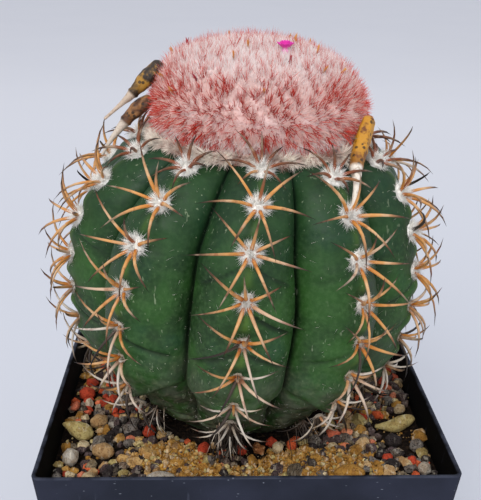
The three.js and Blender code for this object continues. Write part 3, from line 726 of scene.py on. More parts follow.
@dataclass(frozen=True)
class StoneFinish:
    """Dull broken stone: the tone of each stone picks its colour, and grains and pores break it up."""

    name: str
    palette: tuple
    pores: float = 0.5

    def material(self) -> bpy.types.Material:
        """Builds the material."""
        g = Graph(self.name)
        tone = g.attribute("tone")
        steps = [(i / len(self.palette), colour) for i, colour in enumerate(self.palette)]
        colour = g.ramp(tone, steps, steps=True)
        own = g.math("FRACT", tone * len(self.palette))
        colour = g.mix(own.between(0.9, 0.1) * 0.55, colour, paint(176, 164, 156), "MULTIPLY")
        colour = g.mix(own.between(0.6, 1.0) * 0.35, colour, paint(228, 206, 164))
        porous = tone.between(0.59, 0.61) * (1 - tone.between(0.89, 0.91))
        clouds = g.noise(2.4, 5)
        colour = g.mix(clouds.between(0.4, 0.66) * 0.55, colour, paint(196, 168, 132), "MULTIPLY")
        colour = g.mix(g.noise(0.7, 4).between(0.5, 0.66) * 0.5, colour, paint(104, 82, 64), "MULTIPLY")
        veins = g.noise(1.5, 3, g.scaled((1.0, 0.5, 0.3))).between(0.56, 0.68)
        veins = veins * tone.between(0.18, 0.24) * (1 - porous * 0.4)
        colour = g.mix(veins * 0.34, colour, paint(236, 226, 204))
        pits = 1 - g.specks(0.9).between(0.12, 0.4)
        colour = g.mix(pits * porous * 0.75, colour, paint(22, 16, 15))
        height = clouds + g.noise(0.5, 4) * 0.7 - pits * (self.pores + porous * 0.9)
        return g.finish(colour, 0.88, g.bump(height, 0.28), {"Specular IOR Level": 0.25})


@dataclass(frozen=True)
class SoilFinish:
    """Dark mix between the stones, darkened further as painted shade in the gaps, and clods of ochre sand
    where the sand mark is high.
    """

    damp: tuple = ((0.3, paint(13, 9, 8)), (0.55, paint(30, 22, 17)), (0.75, paint(66, 50, 34)))
    ochre: tuple = (
        (0.3, paint(58, 32, 14)),
        (0.45, paint(154, 102, 40)),
        (0.6, paint(198, 152, 68)),
        (0.75, paint(222, 192, 120)),
    )

    def material(self) -> bpy.types.Material:
        """Builds the material."""
        g = Graph("soil_mix")
        grains, crumbs = g.specks(1.1), g.noise(1.2, 6)
        # The very dark mix is partly its own colour and partly painted shade in the gaps between the stones.
        colour = g.ramp(g.noise(1.6, 5), self.damp)
        ochre = g.ramp(crumbs, self.ochre)
        clods = g.attribute("sand").between(0.25, 0.6) * (1 - g.noise(3.2, 4).between(0.54, 0.64) * 0.6)
        colour = g.mix(clods, colour, ochre)
        return g.finish(colour, 0.95, g.bump(grains + crumbs * 1.6, 0.6), {"Specular IOR Level": 0.1})


@dataclass(frozen=True)
class PodFinish:
    """A dried fruit: pale stalk, then a wrinkled pod of two colours with dark seeds showing through."""

    name: str
    stalk: tuple
    pod: tuple
    burnt: tuple
    burnt_share: float
    seed_spacing: float = 2.3

    def material(self) -> bpy.types.Material:
        """Builds the material."""
        g = Graph(self.name)
        along = g.attribute("along")
        blotch = g.noise(4.0, 4).between(0.62 - self.burnt_share * 0.4, 0.72 - self.burnt_share * 0.3)
        pod = g.mix(blotch, self.pod, self.burnt)
        pod = g.mix((1 - along.between(0.5, 0.66)) * 0.7, pod, self.burnt)
        seeds = 1 - g.specks(self.seed_spacing).between(0.22, 0.32)
        pod = g.mix(seeds * 0.85, pod, paint(34, 24, 16))
        stalk = g.mix(g.noise(1.2, 4).between(0.5, 0.7) * 0.6, self.stalk, paint(150, 128, 104))
        colour = g.mix(along.between(0.46, 0.5), stalk, pod)
        wrinkles = g.noise(1.6, 4, g.scaled((1.0, 1.0, 0.4)))
        return g.finish(colour, 0.5, g.bump(wrinkles + g.noise(0.6), 0.3), {"Specular IOR Level": 0.4})


@dataclass(frozen=True)
class PetalFinish:
    """Magenta petals, paler at the foot and streaked along."""

    stops: tuple = ((0, paint(236, 170, 208)), (0.4, paint(226, 62, 172)), (1, paint(214, 38, 160)))

    def material(self) -> bpy.types.Material:
        """Builds the material."""
        g = Graph("petal")
        along = g.attribute("along")
        colour = g.ramp(along, self.stops)
        streaks = g.noise(0.5, 3)
        colour = g.mix(streaks.between(0.5, 0.7) * 0.3, colour, paint(244, 120, 206))
        return g.finish(colour, 0.55, g.bump(streaks, 0.08), {"Specular IOR Level": 0.3})


@dataclass(frozen=True)
class HuskFinish:
    """Crumpled brown papery stuff with torn pale edges."""

    name: str
    dark: tuple
    light: tuple

    def material(self) -> bpy.types.Material:
        """Builds the material."""
        g = Graph(self.name)
        clouds = g.noise(2.2, 5)
        colour = g.ramp(clouds, [(0.3, self.dark), (0.55, self.light), (0.78, paint(196, 168, 128))])
        return g.finish(colour, 0.7, g.bump(clouds + g.noise(0.7), 0.3), {"Specular IOR Level": 0.3})


@dataclass(frozen=True)
class FloorFinish:
    """Plain pale matt floor, darker by the pot as painted shade, with hardly any mottle."""

    near: tuple = paint(203, 206, 213)
    far: tuple = paint(230, 231, 235)
    reach: tuple = (0.12, 1.4)

    def material(self) -> bpy.types.Material:
        """Builds the material."""
        g = Graph("pale_floor")
        away = (g.axis("X") ** 2 + g.axis("Y") ** 2) ** 0.5
        # Painted shade: the floor darkens towards the pot.
        colour = g.mix(away.between(*self.reach), self.near, self.far)
        colour = g.mix(g.noise(300, 2) * 0.2, colour, paint(208, 211, 219))
        return g.finish(colour, 0.8)


def dress(piece: bpy.types.Object, material: bpy.types.Material, slot: str, *nodes: str) -> bpy.types.Object:
    """Gives a piece its finish and ties it to the frame.

    Args:
        piece: The piece.
        material: Its finish.
        slot: The record's material slot; not used.
        nodes: Solids that it stands for.

    Returns:
        The piece.
    """
    piece.data.materials.clear()
    piece.data.materials.append(material)
    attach(piece, "root")
    if nodes:
        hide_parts(*nodes)
    log.info("%s: %d faces", piece.name, len(piece.data.polygons))
    return piece


def copied_node(node: str, name: str) -> bpy.types.Object:
    """A solid's mesh as a piece of its own, with its corners joined."""
    source = bpy.data.objects[node]
    piece = bpy.data.objects.new(name, source.data.copy())
    piece.data.materials.clear()
    bpy.context.collection.objects.link(piece)
    edit(piece, merge)
    return piece


# The pot and what fills it


@dataclass
class Pot:
    """The square plastic pot, with its edges worn round."""

    edge_radius: float = 0.35
    rim_width: float = 150.0
    base_width: float = 122.0
    height: float = 130.0

    def build(self) -> bpy.types.Object:
        """Rounds the solid's sharp edges and dresses it."""
        piece = copied_node("pot", "pot_shell")
        edit(piece, lambda: bpy.ops.mesh.dissolve_limited(angle_limit=math.radians(2)))
        width = self.edge_radius * MM
        sharp = math.radians(50)
        apply_modifier(piece, "BEVEL", width=width, segments=2, limit_method="ANGLE", angle_limit=sharp)
        shade(piece, 30)
        points = points_of(piece) / MM
        half = mixed(self.base_width, self.rim_width, points[:, 2] / self.height) / 2
        reach = np.abs(points[:, :2]).max(axis=1)
        mark(piece, "inner", smooth(half - reach, 0.6, 1.3))
        return dress(piece, PlasticFinish().material(), "pot", "pot")


class Stone(Enum):
    """The kinds of stone in the mix, in the order of their colours in the palette."""

    BRICK = 0
    ORANGE = 1
    TAN = 2
    CREAM = 3
    YELLOW = 4
    OCHRE = 5
    GREY = 6
    MAUVE = 7
    DARK = 8
    WHITE = 9


PALETTE = {
    Stone.BRICK: paint(200, 76, 48),
    Stone.ORANGE: paint(222, 102, 58),
    Stone.TAN: paint(186, 152, 106),
    Stone.CREAM: paint(208, 190, 152),
    Stone.YELLOW: paint(192, 176, 116),
    Stone.OCHRE: paint(182, 136, 62),
    Stone.GREY: paint(124, 118, 112),
    Stone.MAUVE: paint(92, 77, 77),
    Stone.DARK: paint(50, 43, 43),
    Stone.WHITE: paint(196, 190, 178),
}


def tone_of(kind: Stone) -> float:
    """The tone that picks a stone's colour."""
    return (kind.value + 0.5) / len(PALETTE)


@dataclass
class Grit:
    """The mix in the pot: a dark bed, close broken stones on it, and sand."""

    level: float = 118.5
    inner_half: float = 72.0
    foot: tuple = (-2.0, -0.5)
    foot_radius: float = 41.0
    layers: tuple = ((3.1, 2.5, 4.3, -0.4), (6.6, 3.4, 5.4, 0.9))
    sand_places: tuple = ((-30, -45, 19, 9), (27, -49, 24, 10), (-10, -57, 24, 7))
    crumbs: int = 2300
    crumb_sizes: tuple = (0.9, 3.1)
    fine_grains: int = 3400
    grain_sizes: tuple = (0.4, 1.1)
    sand_rise: float = 0.5
    sand_back: float = 30.0
    sand_shares: tuple = (0.66, 0.18, 0.09, 0.02, 0.05)
    shares: dict = field(
        default_factory=lambda: {
            Stone.BRICK: 0.05,
            Stone.ORANGE: 0.03,
            Stone.TAN: 0.11,
            Stone.CREAM: 0.06,
            Stone.YELLOW: 0.06,
            Stone.OCHRE: 0.12,
            Stone.GREY: 0.15,
            Stone.MAUVE: 0.24,
            Stone.DARK: 0.16,
            Stone.WHITE: 0.02,
        }
    )

    def build(self, pebbles: Iterable[Triple]) -> None:
        """Makes the bed, the stones and the sand.

        Args:
            pebbles: Centre and half width of each single pebble, which the stones leave free.
        """
        self.build_bed()
        self.build_stones(np.array(list(pebbles)))
        self.build_sand()

    def build_bed(self) -> None:
        """The fill from the pot's floor to its rough dark top, in the place of the solid."""
        low, _ = (np.array(corner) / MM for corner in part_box("grit"))
        deselect()
        bpy.ops.mesh.primitive_grid_add(x_subdivisions=150, y_subdivisions=150, size=1)
        piece = bpy.context.object
        piece.name = "soil_bed"
        flat = points_of(piece) * [1, 1, 0] * 2 * self.inner_half
        move_points(piece, (flat + np.outer(self.bed_height(flat), [0, 0, 1])) * MM)
        floor_half = self.inner_half - (self.level - low[2]) * 14 / 130

        def close_below() -> None:
            """Draws the rim down to the pot's floor and fills it."""
            bpy.ops.mesh.select_all(action="DESELECT")
            bpy.ops.mesh.select_mode(type="EDGE")
            bpy.ops.mesh.select_non_manifold()
            drop = (0, 0, -(self.level - low[2]) * MM)
            bpy.ops.mesh.extrude_region_move(TRANSFORM_OT_translate={"value": drop})
            share = floor_half / self.inner_half
            bpy.ops.transform.resize(value=(share, share, 0), center_override=(0, 0, low[2] * MM))
            bpy.ops.mesh.edge_face_add()
            bpy.ops.mesh.select_all(action="SELECT")
            bpy.ops.mesh.normals_make_consistent(inside=False)

        edit(piece, close_below)
        shade(piece, 60)
        points = points_of(piece) / MM
        top = smooth(points[:, 2], self.level - 6, self.level - 4)
        mark(piece, "sand", top * self.sandiness(points[:, 0], points[:, 1]))
        dress(piece, SoilFinish().material(), "grit", "grit")

    def bed_height(self, flat: Points) -> Points:
        """Height of the bed's top, with clods where it is sandy."""
        bumps = ripple(flat, 6.0) + 0.5 * ripple(flat, 2.2, 1.0)
        clods = 1.0 * ripple(flat, 3.4, 4.0) + 0.7 * ripple(flat, 1.5, 6.0)
        return self.level - 1.2 + 0.9 * bumps + self.sandiness(flat[:, 0], flat[:, 1]) * (1.7 + clods)

    def sandiness(self, x: Points, y: Points) -> Points:
        """How sandy the mix is at each place, from 0 to 1."""
        total = np.zeros(len(x))
        for place_x, place_y, half_x, half_y in self.sand_places:
            reach = np.hypot((x - place_x) / half_x, (y - place_y) / half_y)
            total = np.maximum(total, 1 - smooth(reach, 0.6, 1.15))
        return total

    def kinds_at(self, x: Points, y: Points, chance: np.random.Generator) -> Points:
        """A tone of stone for each place: brick at the left, tan behind, and ochre in the sand."""
        kinds, weights = list(self.shares), np.array(list(self.shares.values()))
        table = np.tile(weights, (len(x), 1))
        left = smooth(-x, 44, 56) * smooth(y, -24, -14) * (1 - smooth(y, 6, 12))
        behind = smooth(np.abs(x), 44, 56) * smooth(y, 8, 16)
        table[:, kinds.index(Stone.BRICK)] += 0.5 * left + 0.1 * smooth(x, 40, 56) * smooth(y, -24, -12)
        table[:, kinds.index(Stone.ORANGE)] += 0.2 * left
        table[:, kinds.index(Stone.TAN)] += 0.5 * behind
        table[:, kinds.index(Stone.OCHRE)] += 0.3 * behind + 0.9 * self.sandiness(x, y)
        table /= table.sum(axis=1, keepdims=True)
        pick = (np.cumsum(table, axis=1) < chance.random((len(x), 1))).sum(axis=1)
        return np.array([tone_of(kinds[min(i, len(kinds) - 1)]) for i in pick])

    def lay(
        self, crowd: Crowd, shapes: list[Shape], spots: Points, tone: Points, chance: np.random.Generator
    ) -> None:
        """Turns and stretches one stone for each spot.

        Args:
            crowd: Takes the stones.
            shapes: The modelled stones to copy.
            spots: Centre and width of each stone, one a row.
            tone: The tone that picks each stone's colour.
            chance: Source of the scatter.
        """
        which = chance.integers(len(shapes), size=len(spots))
        for number, shape in enumerate(shapes):
            mine = which == number
            count = int(mine.sum())
            turns = chance.uniform(0, math.tau, (count, 3))
            spin = np.array([Euler(turn).to_matrix() for turn in turns]).reshape(-1, 3, 3)
            stretch = spots[mine, 3:] * chance.uniform([0.8, 0.8, 0.62], [1.15, 1.15, 0.9], (count, 3))
            local = np.einsum("nij,kj->nki", spin, shape.points) * stretch[:, None, :]
            shade_of = tone[mine] + chance.uniform(-0.45, 0.45, count) / len(PALETTE)
            crowd.add(local + spots[mine, None, :3], shape.faces, tone=shade_of[:, None])

    def build_stones(self, pebbles: Points) -> None:
        """A layer of close stones and larger ones strewn over it, which leave the single pebbles free."""
        chance = np.random.default_rng(11)
        crowd = Crowd()
        for layer, (spacing, *sizes, lift) in enumerate(self.layers):
            side = np.arange(-self.inner_half + 2.0, self.inner_half - 1.8, spacing)
            rows = np.meshgrid(side, side)
            x, y = (part.ravel() + chance.uniform(-0.42, 0.42, part.size) * spacing for part in rows)
            size = chance.uniform(*sizes, x.size)
            reach = self.inner_half - 0.42 * size
            inside = (np.abs(x) < reach) & (np.abs(y) < reach)
            off_foot = np.hypot(x - self.foot[0], y - self.foot[1]) > self.foot_radius - 3 * (1 - layer)
            away = np.hypot(x[:, None] - pebbles[:, 0], y[:, None] - pebbles[:, 1])
            gap = away - pebbles[:, 2] - 0.36 * size[:, None]
            bare = chance.random(x.size) > (0.55 + 0.35 * layer) * self.sandiness(x, y)
            kept = inside & off_foot & bare & (gap.min(axis=1) > 0)
            height = self.level + lift + chance.uniform(-0.5, 0.9, x.size)
            shapes = [stone_shape(seed, 1 + layer) for seed in range(12)]
            spots = np.column_stack([x, y, height, size])[kept]
            self.lay(crowd, shapes, spots, self.kinds_at(spots[:, 0], spots[:, 1], chance), chance)
        piece = crowd.piece("grit_stones")
        shade(piece, 32)
        dress(piece, StoneFinish("grit_stone", tuple(PALETTE.values())).material(), "grit")

    def build_sand(self) -> None:
        """Ochre crumbs and finer sand in patches at the front, and a few grains everywhere."""
        chance = np.random.default_rng(12)
        deselect()
        bpy.ops.mesh.primitive_ico_sphere_add(subdivisions=1, radius=0.5)
        crumb = Shape.lifted(bpy.context.object)
        bpy.ops.mesh.primitive_uv_sphere_add(segments=4, ring_count=3, radius=0.5)
        grain = Shape.lifted(bpy.context.object)
        crowd = Crowd()
        kinds = [Stone.OCHRE, Stone.YELLOW, Stone.TAN, Stone.CREAM, Stone.MAUVE]
        edge = self.inner_half - 1
        sorts = ((crumb, self.crumbs, self.crumb_sizes), (grain, self.fine_grains, self.grain_sizes))
        for shape, count, (low, high) in sorts:
            place = chance.uniform((-edge, -edge), (edge, self.sand_back), (4 * count, 2))
            wanted = 0.06 + self.sandiness(place[:, 0], place[:, 1])
            clear = np.hypot(place[:, 0] - self.foot[0], place[:, 1] - self.foot[1]) > self.foot_radius
            place = place[(chance.random(len(place)) < wanted) & clear]
            size = mixed(low, high, chance.random(len(place)) ** 1.6)
            height = self.bed_height(np.column_stack([place, 0 * size]))
            height = height + self.sand_rise * chance.uniform(-0.2, 1.0, len(place))
            stretch = size[:, None] * chance.uniform(0.65, 1.15, (len(place), 3))
            rough = shape.points[None] * chance.uniform(0.8, 1.2, (len(place), len(shape.points), 1))
            picked = chance.choice(kinds, len(place), p=self.sand_shares)
            tone = np.array([tone_of(kind) for kind in picked])
            tone = tone + chance.uniform(-0.45, 0.45, len(place)) / len(PALETTE)
            centre = np.column_stack([place, height])[:, None, :]
            crowd.add(rough * stretch[:, None, :] + centre, shape.faces, tone=tone[:, None])
        piece = crowd.piece("sand_grains")
        dress(piece, StoneFinish("sand_grain", tuple(PALETTE.values()), 0.2).material(), "grit")


@dataclass
class Pebbles:
    """The single stones that the eye picks out, each in the place of its solid."""

    kinds: dict = field(
        default_factory=lambda: {
            "yellow_green": (Stone.YELLOW, "stone_yellow"),
            "tan": (Stone.TAN, "stone_tan"),
            "olive": (Stone.YELLOW, "stone_olive"),
            "ochre": (Stone.OCHRE, "stone_ochre"),
            "grey_white": (Stone.WHITE, "stone_pale"),
            "beige": (Stone.TAN, "stone_tan"),
            "cream": (Stone.CREAM, "stone_pale"),
            "quartz": (Stone.WHITE, "stone_pale"),
            "lava": (Stone.DARK, "stone_dark"),
            "grey": (Stone.GREY, "stone_grey"),
            "brick": (Stone.BRICK, "stone_brick"),
            "orange": (Stone.ORANGE, "stone_orange"),
            "white": (Stone.WHITE, "stone_pale"),
            "red": (Stone.BRICK, "stone_red"),
            "small_red": (Stone.BRICK, "stone_red"),
            "heart": (Stone.CREAM, "stone_tan"),
            "coral": (Stone.ORANGE, "stone_orange"),
            "brick_left": (Stone.BRICK, "stone_brick"),
            "pale": (Stone.CREAM, "stone_pale"),
        }
    )

    wedges: dict = field(default_factory=lambda: {"yellow_green": (-1, 3.6, 0.5), "olive": (1, 2.2, 0.55)})

    def places(self) -> list[Triple]:
        """Centre and half width of each pebble, and of the husk, in millimetres."""
        found = []
        for node in [f"pebble_{name}" for name in self.kinds] + ["dry_husk"]:
            low, high = (np.array(corner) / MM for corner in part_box(node))
            middle, half = (low + high) / 2, (high - low) / 2
            found.append((middle[0], middle[1], max(half[0], half[1])))
        return found

    def build(self) -> None:
        """Wears the corners of each solid round and roughens its faces."""
        finish = StoneFinish("single_stone", tuple(PALETTE.values()), 0.35).material()
        for name, (kind, slot) in self.kinds.items():
            node = f"pebble_{name}"
            piece = copied_node(node, f"stone_{name}")
            apply_modifier(piece, "BEVEL", width=0.45 * MM, segments=2, limit_method="NONE")
            apply_modifier(piece, "SUBSURF", levels=1, render_levels=1, subdivision_type="SIMPLE")
            points = points_of(piece) / MM
            centre = points.mean(axis=0)
            rough = 0.2 * ripple(points, 1.7) + 0.3 * ripple(points, 4.0)
            if name in self.wedges:
                points = self.wedge(points, centre, *self.wedges[name])
            move_points(piece, (points + unit(points - centre) * rough[:, None]) * MM)
            mark(piece, "tone", np.full(len(points), tone_of(kind) - 0.1 / len(PALETTE)))
            shade(piece, 42)
            dress(piece, finish, slot, node)
        self.build_husk()

    def wedge(self, points: Points, centre: Points, raised: int, rise: float, thin: float) -> Points:
        """Thins a pebble towards its left end and lifts one end.

        Args:
            points: Its corners.
            centre: Its middle.
            raised: -1 to lift the left end, 1 to lift the right end.
            rise: How far the end is lifted, in millimetres.
            thin: Share of its thickness that the left end loses.

        Returns:
            The corners of the wedge.
        """
        reach = (points[:, 0] - centre[0]) / np.abs(points[:, 0] - centre[0]).max()
        keep = 1 - thin * smooth(-reach, -0.6, 1.0)[:, None]
        lifted = rise * smooth(reach * raised, -0.4, 1.0)
        thinned = (points - centre) * np.hstack([np.ones_like(keep), keep, keep])
        return centre + thinned + np.outer(lifted, [0, 0, 1])

    def build_husk(self) -> None:
        """The crumpled dry husk that lies in front of the plant."""
        piece = copied_node("dry_husk", "husk")
        apply_modifier(piece, "SUBSURF", levels=3, render_levels=3, subdivision_type="SIMPLE")
        points = points_of(piece) / MM
        centre = points.mean(axis=0)
        crumple = 0.9 * ripple(points, 2.4) + 0.6 * ripple(points, 1.0) - 0.3
        move_points(piece, (points + unit(points - centre) * crumple[:, None]) * MM)
        shade(piece, 60)
        finish = HuskFinish("husk_paper", paint(48, 26, 14), paint(132, 80, 40))
        dress(piece, finish.material(), "husk", "dry_husk")


# The plant


@dataclass
class Plant:
    """The plant's own frame and the form of its ribbed body, in millimetres."""

    foot: Triple = (-2.0, -0.5, 119.0)
    lean: float = 1.6
    rib_count: int = 10
    groove_ratio: float = 0.77
    foot_groove_ratio: float = 0.93
    foot_share: float = 0.75
    rib_phase: float = -1.6
    rib_twist: float = 0.073
    phase_height: float = 71.0
    crown_shift: float = 3.3
    shift_from: float = 80.0
    stem_top: float = 113.4
    chin_relief: float = 0.9
    areole_distances: tuple = (4, 19.3, 34.9, 51, 65.8, 79.5, 93, 106)
    last_chin: float = 13.0
    drops: tuple = (0, 5, 4, 1, 5, 0.5, 4, 5, 4.5, 3.2)
    crown_sway: tuple = (-2.5, -7, -9, -4, 0, 2, 1, 0, 1.8, 0.9)
    foot_sway: tuple = (0.5, 2.4, 0.3, -1, 0, 1.5, 0, -2, -4, -2.9)
    sway_from: float = 55.0
    crest_line: tuple = (
        (40.5, 113.4),
        (45.5, 111.2),
        (52.9, 106.6),
        (59.8, 99.0),
        (65.3, 88.0),
        (67.9, 74.0),
        (68.6, 61.0),
        (67.2, 47.0),
        (63.8, 33.0),
        (57.0, 21.5),
        (46.0, 11.0),
        (30.0, 0.0),
    )
    root_line: tuple = ((30.0, 0.0), (25.0, -7.0), (17.0, -15.0), (0.0, -20.0))

    def __post_init__(self) -> None:
        """Samples the crest line."""
        self.crest_points, self.crest_along = spline(self.crest_line)
        self.length = float(self.crest_along[-1])

    def placed(self, points: Points) -> Points:
        """Points of the plant's frame in the pot's frame."""
        turn = math.radians(self.lean)
        x = points[..., 0] * math.cos(turn) + points[..., 2] * math.sin(turn)
        z = points[..., 2] * math.cos(turn) - points[..., 0] * math.sin(turn)
        return np.stack([x, points[..., 1], z], axis=-1) + self.foot

    def crest(self, distance: Points) -> tuple[Points, Points]:
        """Radius and height of the crest line at distances down it."""
        radius = np.interp(distance, self.crest_along, self.crest_points[:, 0])
        return radius, np.interp(distance, self.crest_along, self.crest_points[:, 1])

    def shift(self, height: Points) -> Points:
        """How far the axis is shifted towards +X at a height."""
        return self.crown_shift * smooth(height, self.shift_from, self.stem_top)

    def at_rib(self, values: Sequence[float], rib: Points) -> Points:
        """A value listed by rib, for ribs counted in fractions."""
        ring = np.array([*values, values[0]], float)
        return np.interp(np.mod(rib, self.rib_count), np.arange(self.rib_count + 1), ring)

    def sway(self, rib: Points, height: Points) -> Points:
        """How far a rib leans aside from its even place at a height, in degrees."""
        towards_crown = smooth(height, self.sway_from, self.stem_top)
        return mixed(self.at_rib(self.foot_sway, rib), self.at_rib(self.crown_sway, rib), towards_crown)

    def azimuth(self, rib: Points, height: Points) -> Points:
        """Azimuth of a rib at a height, in radians."""
        phase = self.rib_phase + self.rib_twist * (height - self.phase_height)
        return np.radians(rib * 360 / self.rib_count + phase + self.sway(rib, height))

    def drop(self, rib: Points) -> Points:
        """How far a rib's areoles sit below those of the front rib."""
        return self.at_rib(self.drops, rib)

    def skin(self, distance: Points, rib: Points, flank: Points, relief: Points) -> Points:
        """Points of the skin.

        Args:
            distance: Distance down the crest line.
            rib: Rib, counted in fractions for the flanks.
            flank: Share of the way from crest to groove.
            relief: Swelling at the crest.

        Returns:
            Points in the plant's frame.
        """
        crest, height = self.crest(distance)
        low = smooth(distance, self.foot_share * self.length, self.length)
        groove = mixed(self.groove_ratio, self.foot_groove_ratio, low)
        swell = np.sqrt(np.maximum(0, 1 - flank**2))
        radius = crest * (groove + (1 - groove) * swell) + relief * (1 - flank)
        azimuth = self.azimuth(rib, height)
        x = self.shift(height) + radius * np.sin(azimuth)
        return np.stack([x, -radius * np.cos(azimuth), height], axis=-1)

    def skin_radius(self, points: Points) -> Points:
        """Radius of the skin at the height and azimuth of each point of the plant's frame."""
        height = points[..., 2]
        crest = np.interp(height, self.crest_points[::-1, 1], self.crest_points[::-1, 0])
        azimuth = np.degrees(np.arctan2(points[..., 0] - self.shift(height), -points[..., 1]))
        phase = self.rib_phase + self.rib_twist * (height - self.phase_height)
        even = (azimuth - phase) * self.rib_count / 360
        ribs = even
        for _ in range(3):
            ribs = even - self.sway(ribs, height) * self.rib_count / 360
        flank = 2 * np.abs(ribs - np.round(ribs))
        radius = crest * (self.groove_ratio + (1 - self.groove_ratio) * np.sqrt(np.maximum(0, 1 - flank**2)))
        return np.where(height > self.stem_top, 0, radius)


@dataclass
class Body:
    """The ribbed green body with its chins, folds and foot."""

    plant: Plant
    columns_per_rib: int = 32
    rows: int = 190
    gather: float = 1.4
    root_rows: int = 6
    top_rows: int = 3
    flank_power: float = 0.83
    fold_depth: float = 1.7
    fold_width: float = 1.15
    fold_slope: float = 9.0
    lip_at: tuple = (0.64, 0.71)
    lip_depth: float = 4.2

    def __post_init__(self) -> None:
        """Lists the areoles' distances with one more step beyond the last."""
        distances = self.plant.areole_distances
        self.steps = np.array([*distances, distances[-1] + self.plant.last_chin])

    def build(self) -> bpy.types.Object:
        """Bends the skin out of a grid and dresses it."""
        columns = self.columns_per_rib * self.plant.rib_count
        rows = self.rows + self.root_rows + self.top_rows

        def gathered(values: Callable[[Points, Points], Points]) -> Callable[[Points, Points], Points]:
            """The same values for columns gathered towards the grooves."""
            return lambda u, v: values(self.spread(u), v)

        marks = {
            "flank": gathered(lambda u, v: self.flank(u)),
            "foot": gathered(self.foot),
            "chin": gathered(lambda u, v: self.wave(self.distance(u, v)[1])),
            "fold": gathered(lambda u, v: self.fold(u, self.distance(u, v)[1])),
        }
        piece = wrapped_grid("body_skin", columns, rows, gathered(self.place), marks)
        return dress(piece, SkinFinish().material(), "skin", "stem")

    def spread(self, u: Points) -> Points:
        """Shares round the body for evenly spaced columns, close together at the grooves."""
        rib = u * self.plant.rib_count
        crest = np.round(rib)
        side = 2 * (rib - crest)
        return (crest + np.sign(side) * (1 - (1 - np.abs(side)) ** self.gather) / 2) / self.plant.rib_count

    def foot(self, u: Points, v: Points) -> Points:
        """How corky the skin is: a little near the lip and most below it."""
        below = self.below_lip(self.flank(u), self.distance(u, v)[1])
        return 0.45 * smooth(below, -22, -2) + 0.55 * smooth(below, -1, 6)

    def flank(self, u: Points) -> Points:
        """Share of the way from crest to groove, for shares round the body."""
        rib = u * self.plant.rib_count
        return (2 * np.abs(rib - np.round(rib))) ** self.flank_power

    def distance(self, u: Points, v: Points) -> tuple[Points, Points]:
        """Distance down the crest line, with and without the rib's own drop."""
        plant = self.plant
        rows = self.rows + self.root_rows + self.top_rows
        base = np.clip((v * rows - self.top_rows) / self.rows, 0, 1) * plant.length
        share = np.interp(base, [0, self.steps[0], self.steps[-1] - 6, plant.length], [0, 1, 1, 0])
        return base + share * plant.drop(u * plant.rib_count), base

    def order(self, base: Points) -> Points:
        """Areoles counted in fractions down a rib."""
        return np.interp(base, self.steps, np.arange(len(self.steps)))

    def wave(self, base: Points) -> Points:
        """The notch at each areole and the swelling below it, from -1 to 1."""
        phase = math.tau * self.order(base)
        fade = smooth(base, 0, self.steps[0]) * (1 - smooth(base, self.steps[-1] - 12, self.steps[-1] + 2))
        return -(np.cos(phase) - 0.5 * np.sin(phase)) / 1.12 * fade

    def fold(self, u: Points, base: Points) -> Points:
        """Creases that run down and out over the flanks from below each areole, from 0 to 1."""
        rib = np.round(u * self.plant.rib_count)
        side = np.sign(u * self.plant.rib_count - rib)
        flank = self.flank(u)
        total = np.zeros(len(u))
        for order, start in enumerate(self.steps[:-1]):
            turn = np.mod(rib, self.plant.rib_count) * 3.7
            place = np.column_stack([turn, side * 2.3, np.full(len(u), order * 1.9)])
            own = ripple(place, 1.3, 0.35)
            strength = np.clip(0.5 + 1.4 * own, 0, 1) * (0.35 + 0.65 * smooth(order, 0.5, 3))
            line = start + 2.0 + self.fold_slope * (1 + own) * flank
            away = (base - line) / self.fold_width
            total += strength * np.exp(-np.where(away > 0, away * 0.7, away * 1.6) ** 2)
        return total * smooth(flank, 0.02, 0.2) * (1 - smooth(flank, 0.72, 0.98))

    def below_lip(self, flank: Points, base: Points) -> Points:
        """How far a place lies below the lip where the body overhangs its old foot."""
        start = mixed(self.lip_at[1], self.lip_at[0], smooth(flank, 0, 1)) * self.plant.length
        return base - start

    def place(self, u: Points, v: Points) -> Points:
        """Points of the skin in the pot's frame for shares round and down it."""
        plant = self.plant
        rows = self.rows + self.root_rows + self.top_rows
        distance, base = self.distance(u, v)
        flank = self.flank(u)
        wave = self.wave(base)
        keel = 0.55 * np.exp(-((flank / 0.13) ** 2)) * (0.5 + 0.5 * wave)
        points = plant.skin(distance, u * plant.rib_count, flank, plant.chin_relief * wave + keel)
        off_axis = points[:, 0] - plant.shift(points[:, 2])
        outward = unit(np.column_stack([off_axis, points[:, 1], np.zeros(len(points))]))
        cloud = 0.45 * ripple(points, 16) + 0.16 * ripple(points, 5)
        below_lip = self.below_lip(flank, base)
        shrivel = 0.7 * ripple(points, 3.4) + 0.6 * ripple(points * [1, 1, 2.4], 5.0)
        shrivel = shrivel * smooth(below_lip, 0, 4)
        lip = smooth(below_lip, -0.4, 1.0) * (1 - smooth(below_lip, 14, 34))
        swell = 0.8 * np.exp(-((np.minimum(below_lip + 2.5, 0) / 6) ** 2)) * (below_lip < 0)
        inward = self.fold_depth * self.fold(u, base) * (1 - lip) + self.lip_depth * lip - swell
        points = points + outward * (cloud + shrivel - inward)[:, None]
        row = v * rows
        crown = np.clip((self.top_rows - row) / self.top_rows, 0, 1)
        centre = np.array([plant.crown_shift, 0, plant.stem_top])
        points = mixed(points, centre, crown[:, None])
        root = np.clip((row - self.top_rows - self.rows) / self.root_rows, 0, 1)
        line = np.array(plant.root_line)
        width = np.interp(root, np.linspace(0, 1, len(line)), line[:, 0])
        depth = np.interp(root, np.linspace(0, 1, len(line)), line[:, 1])
        azimuth = plant.azimuth(u * plant.rib_count, depth)
        below = np.column_stack([width * np.sin(azimuth), -width * np.cos(azimuth), depth])
        points = np.where(root[:, None] > 0, below, points)
        return plant.placed(points)


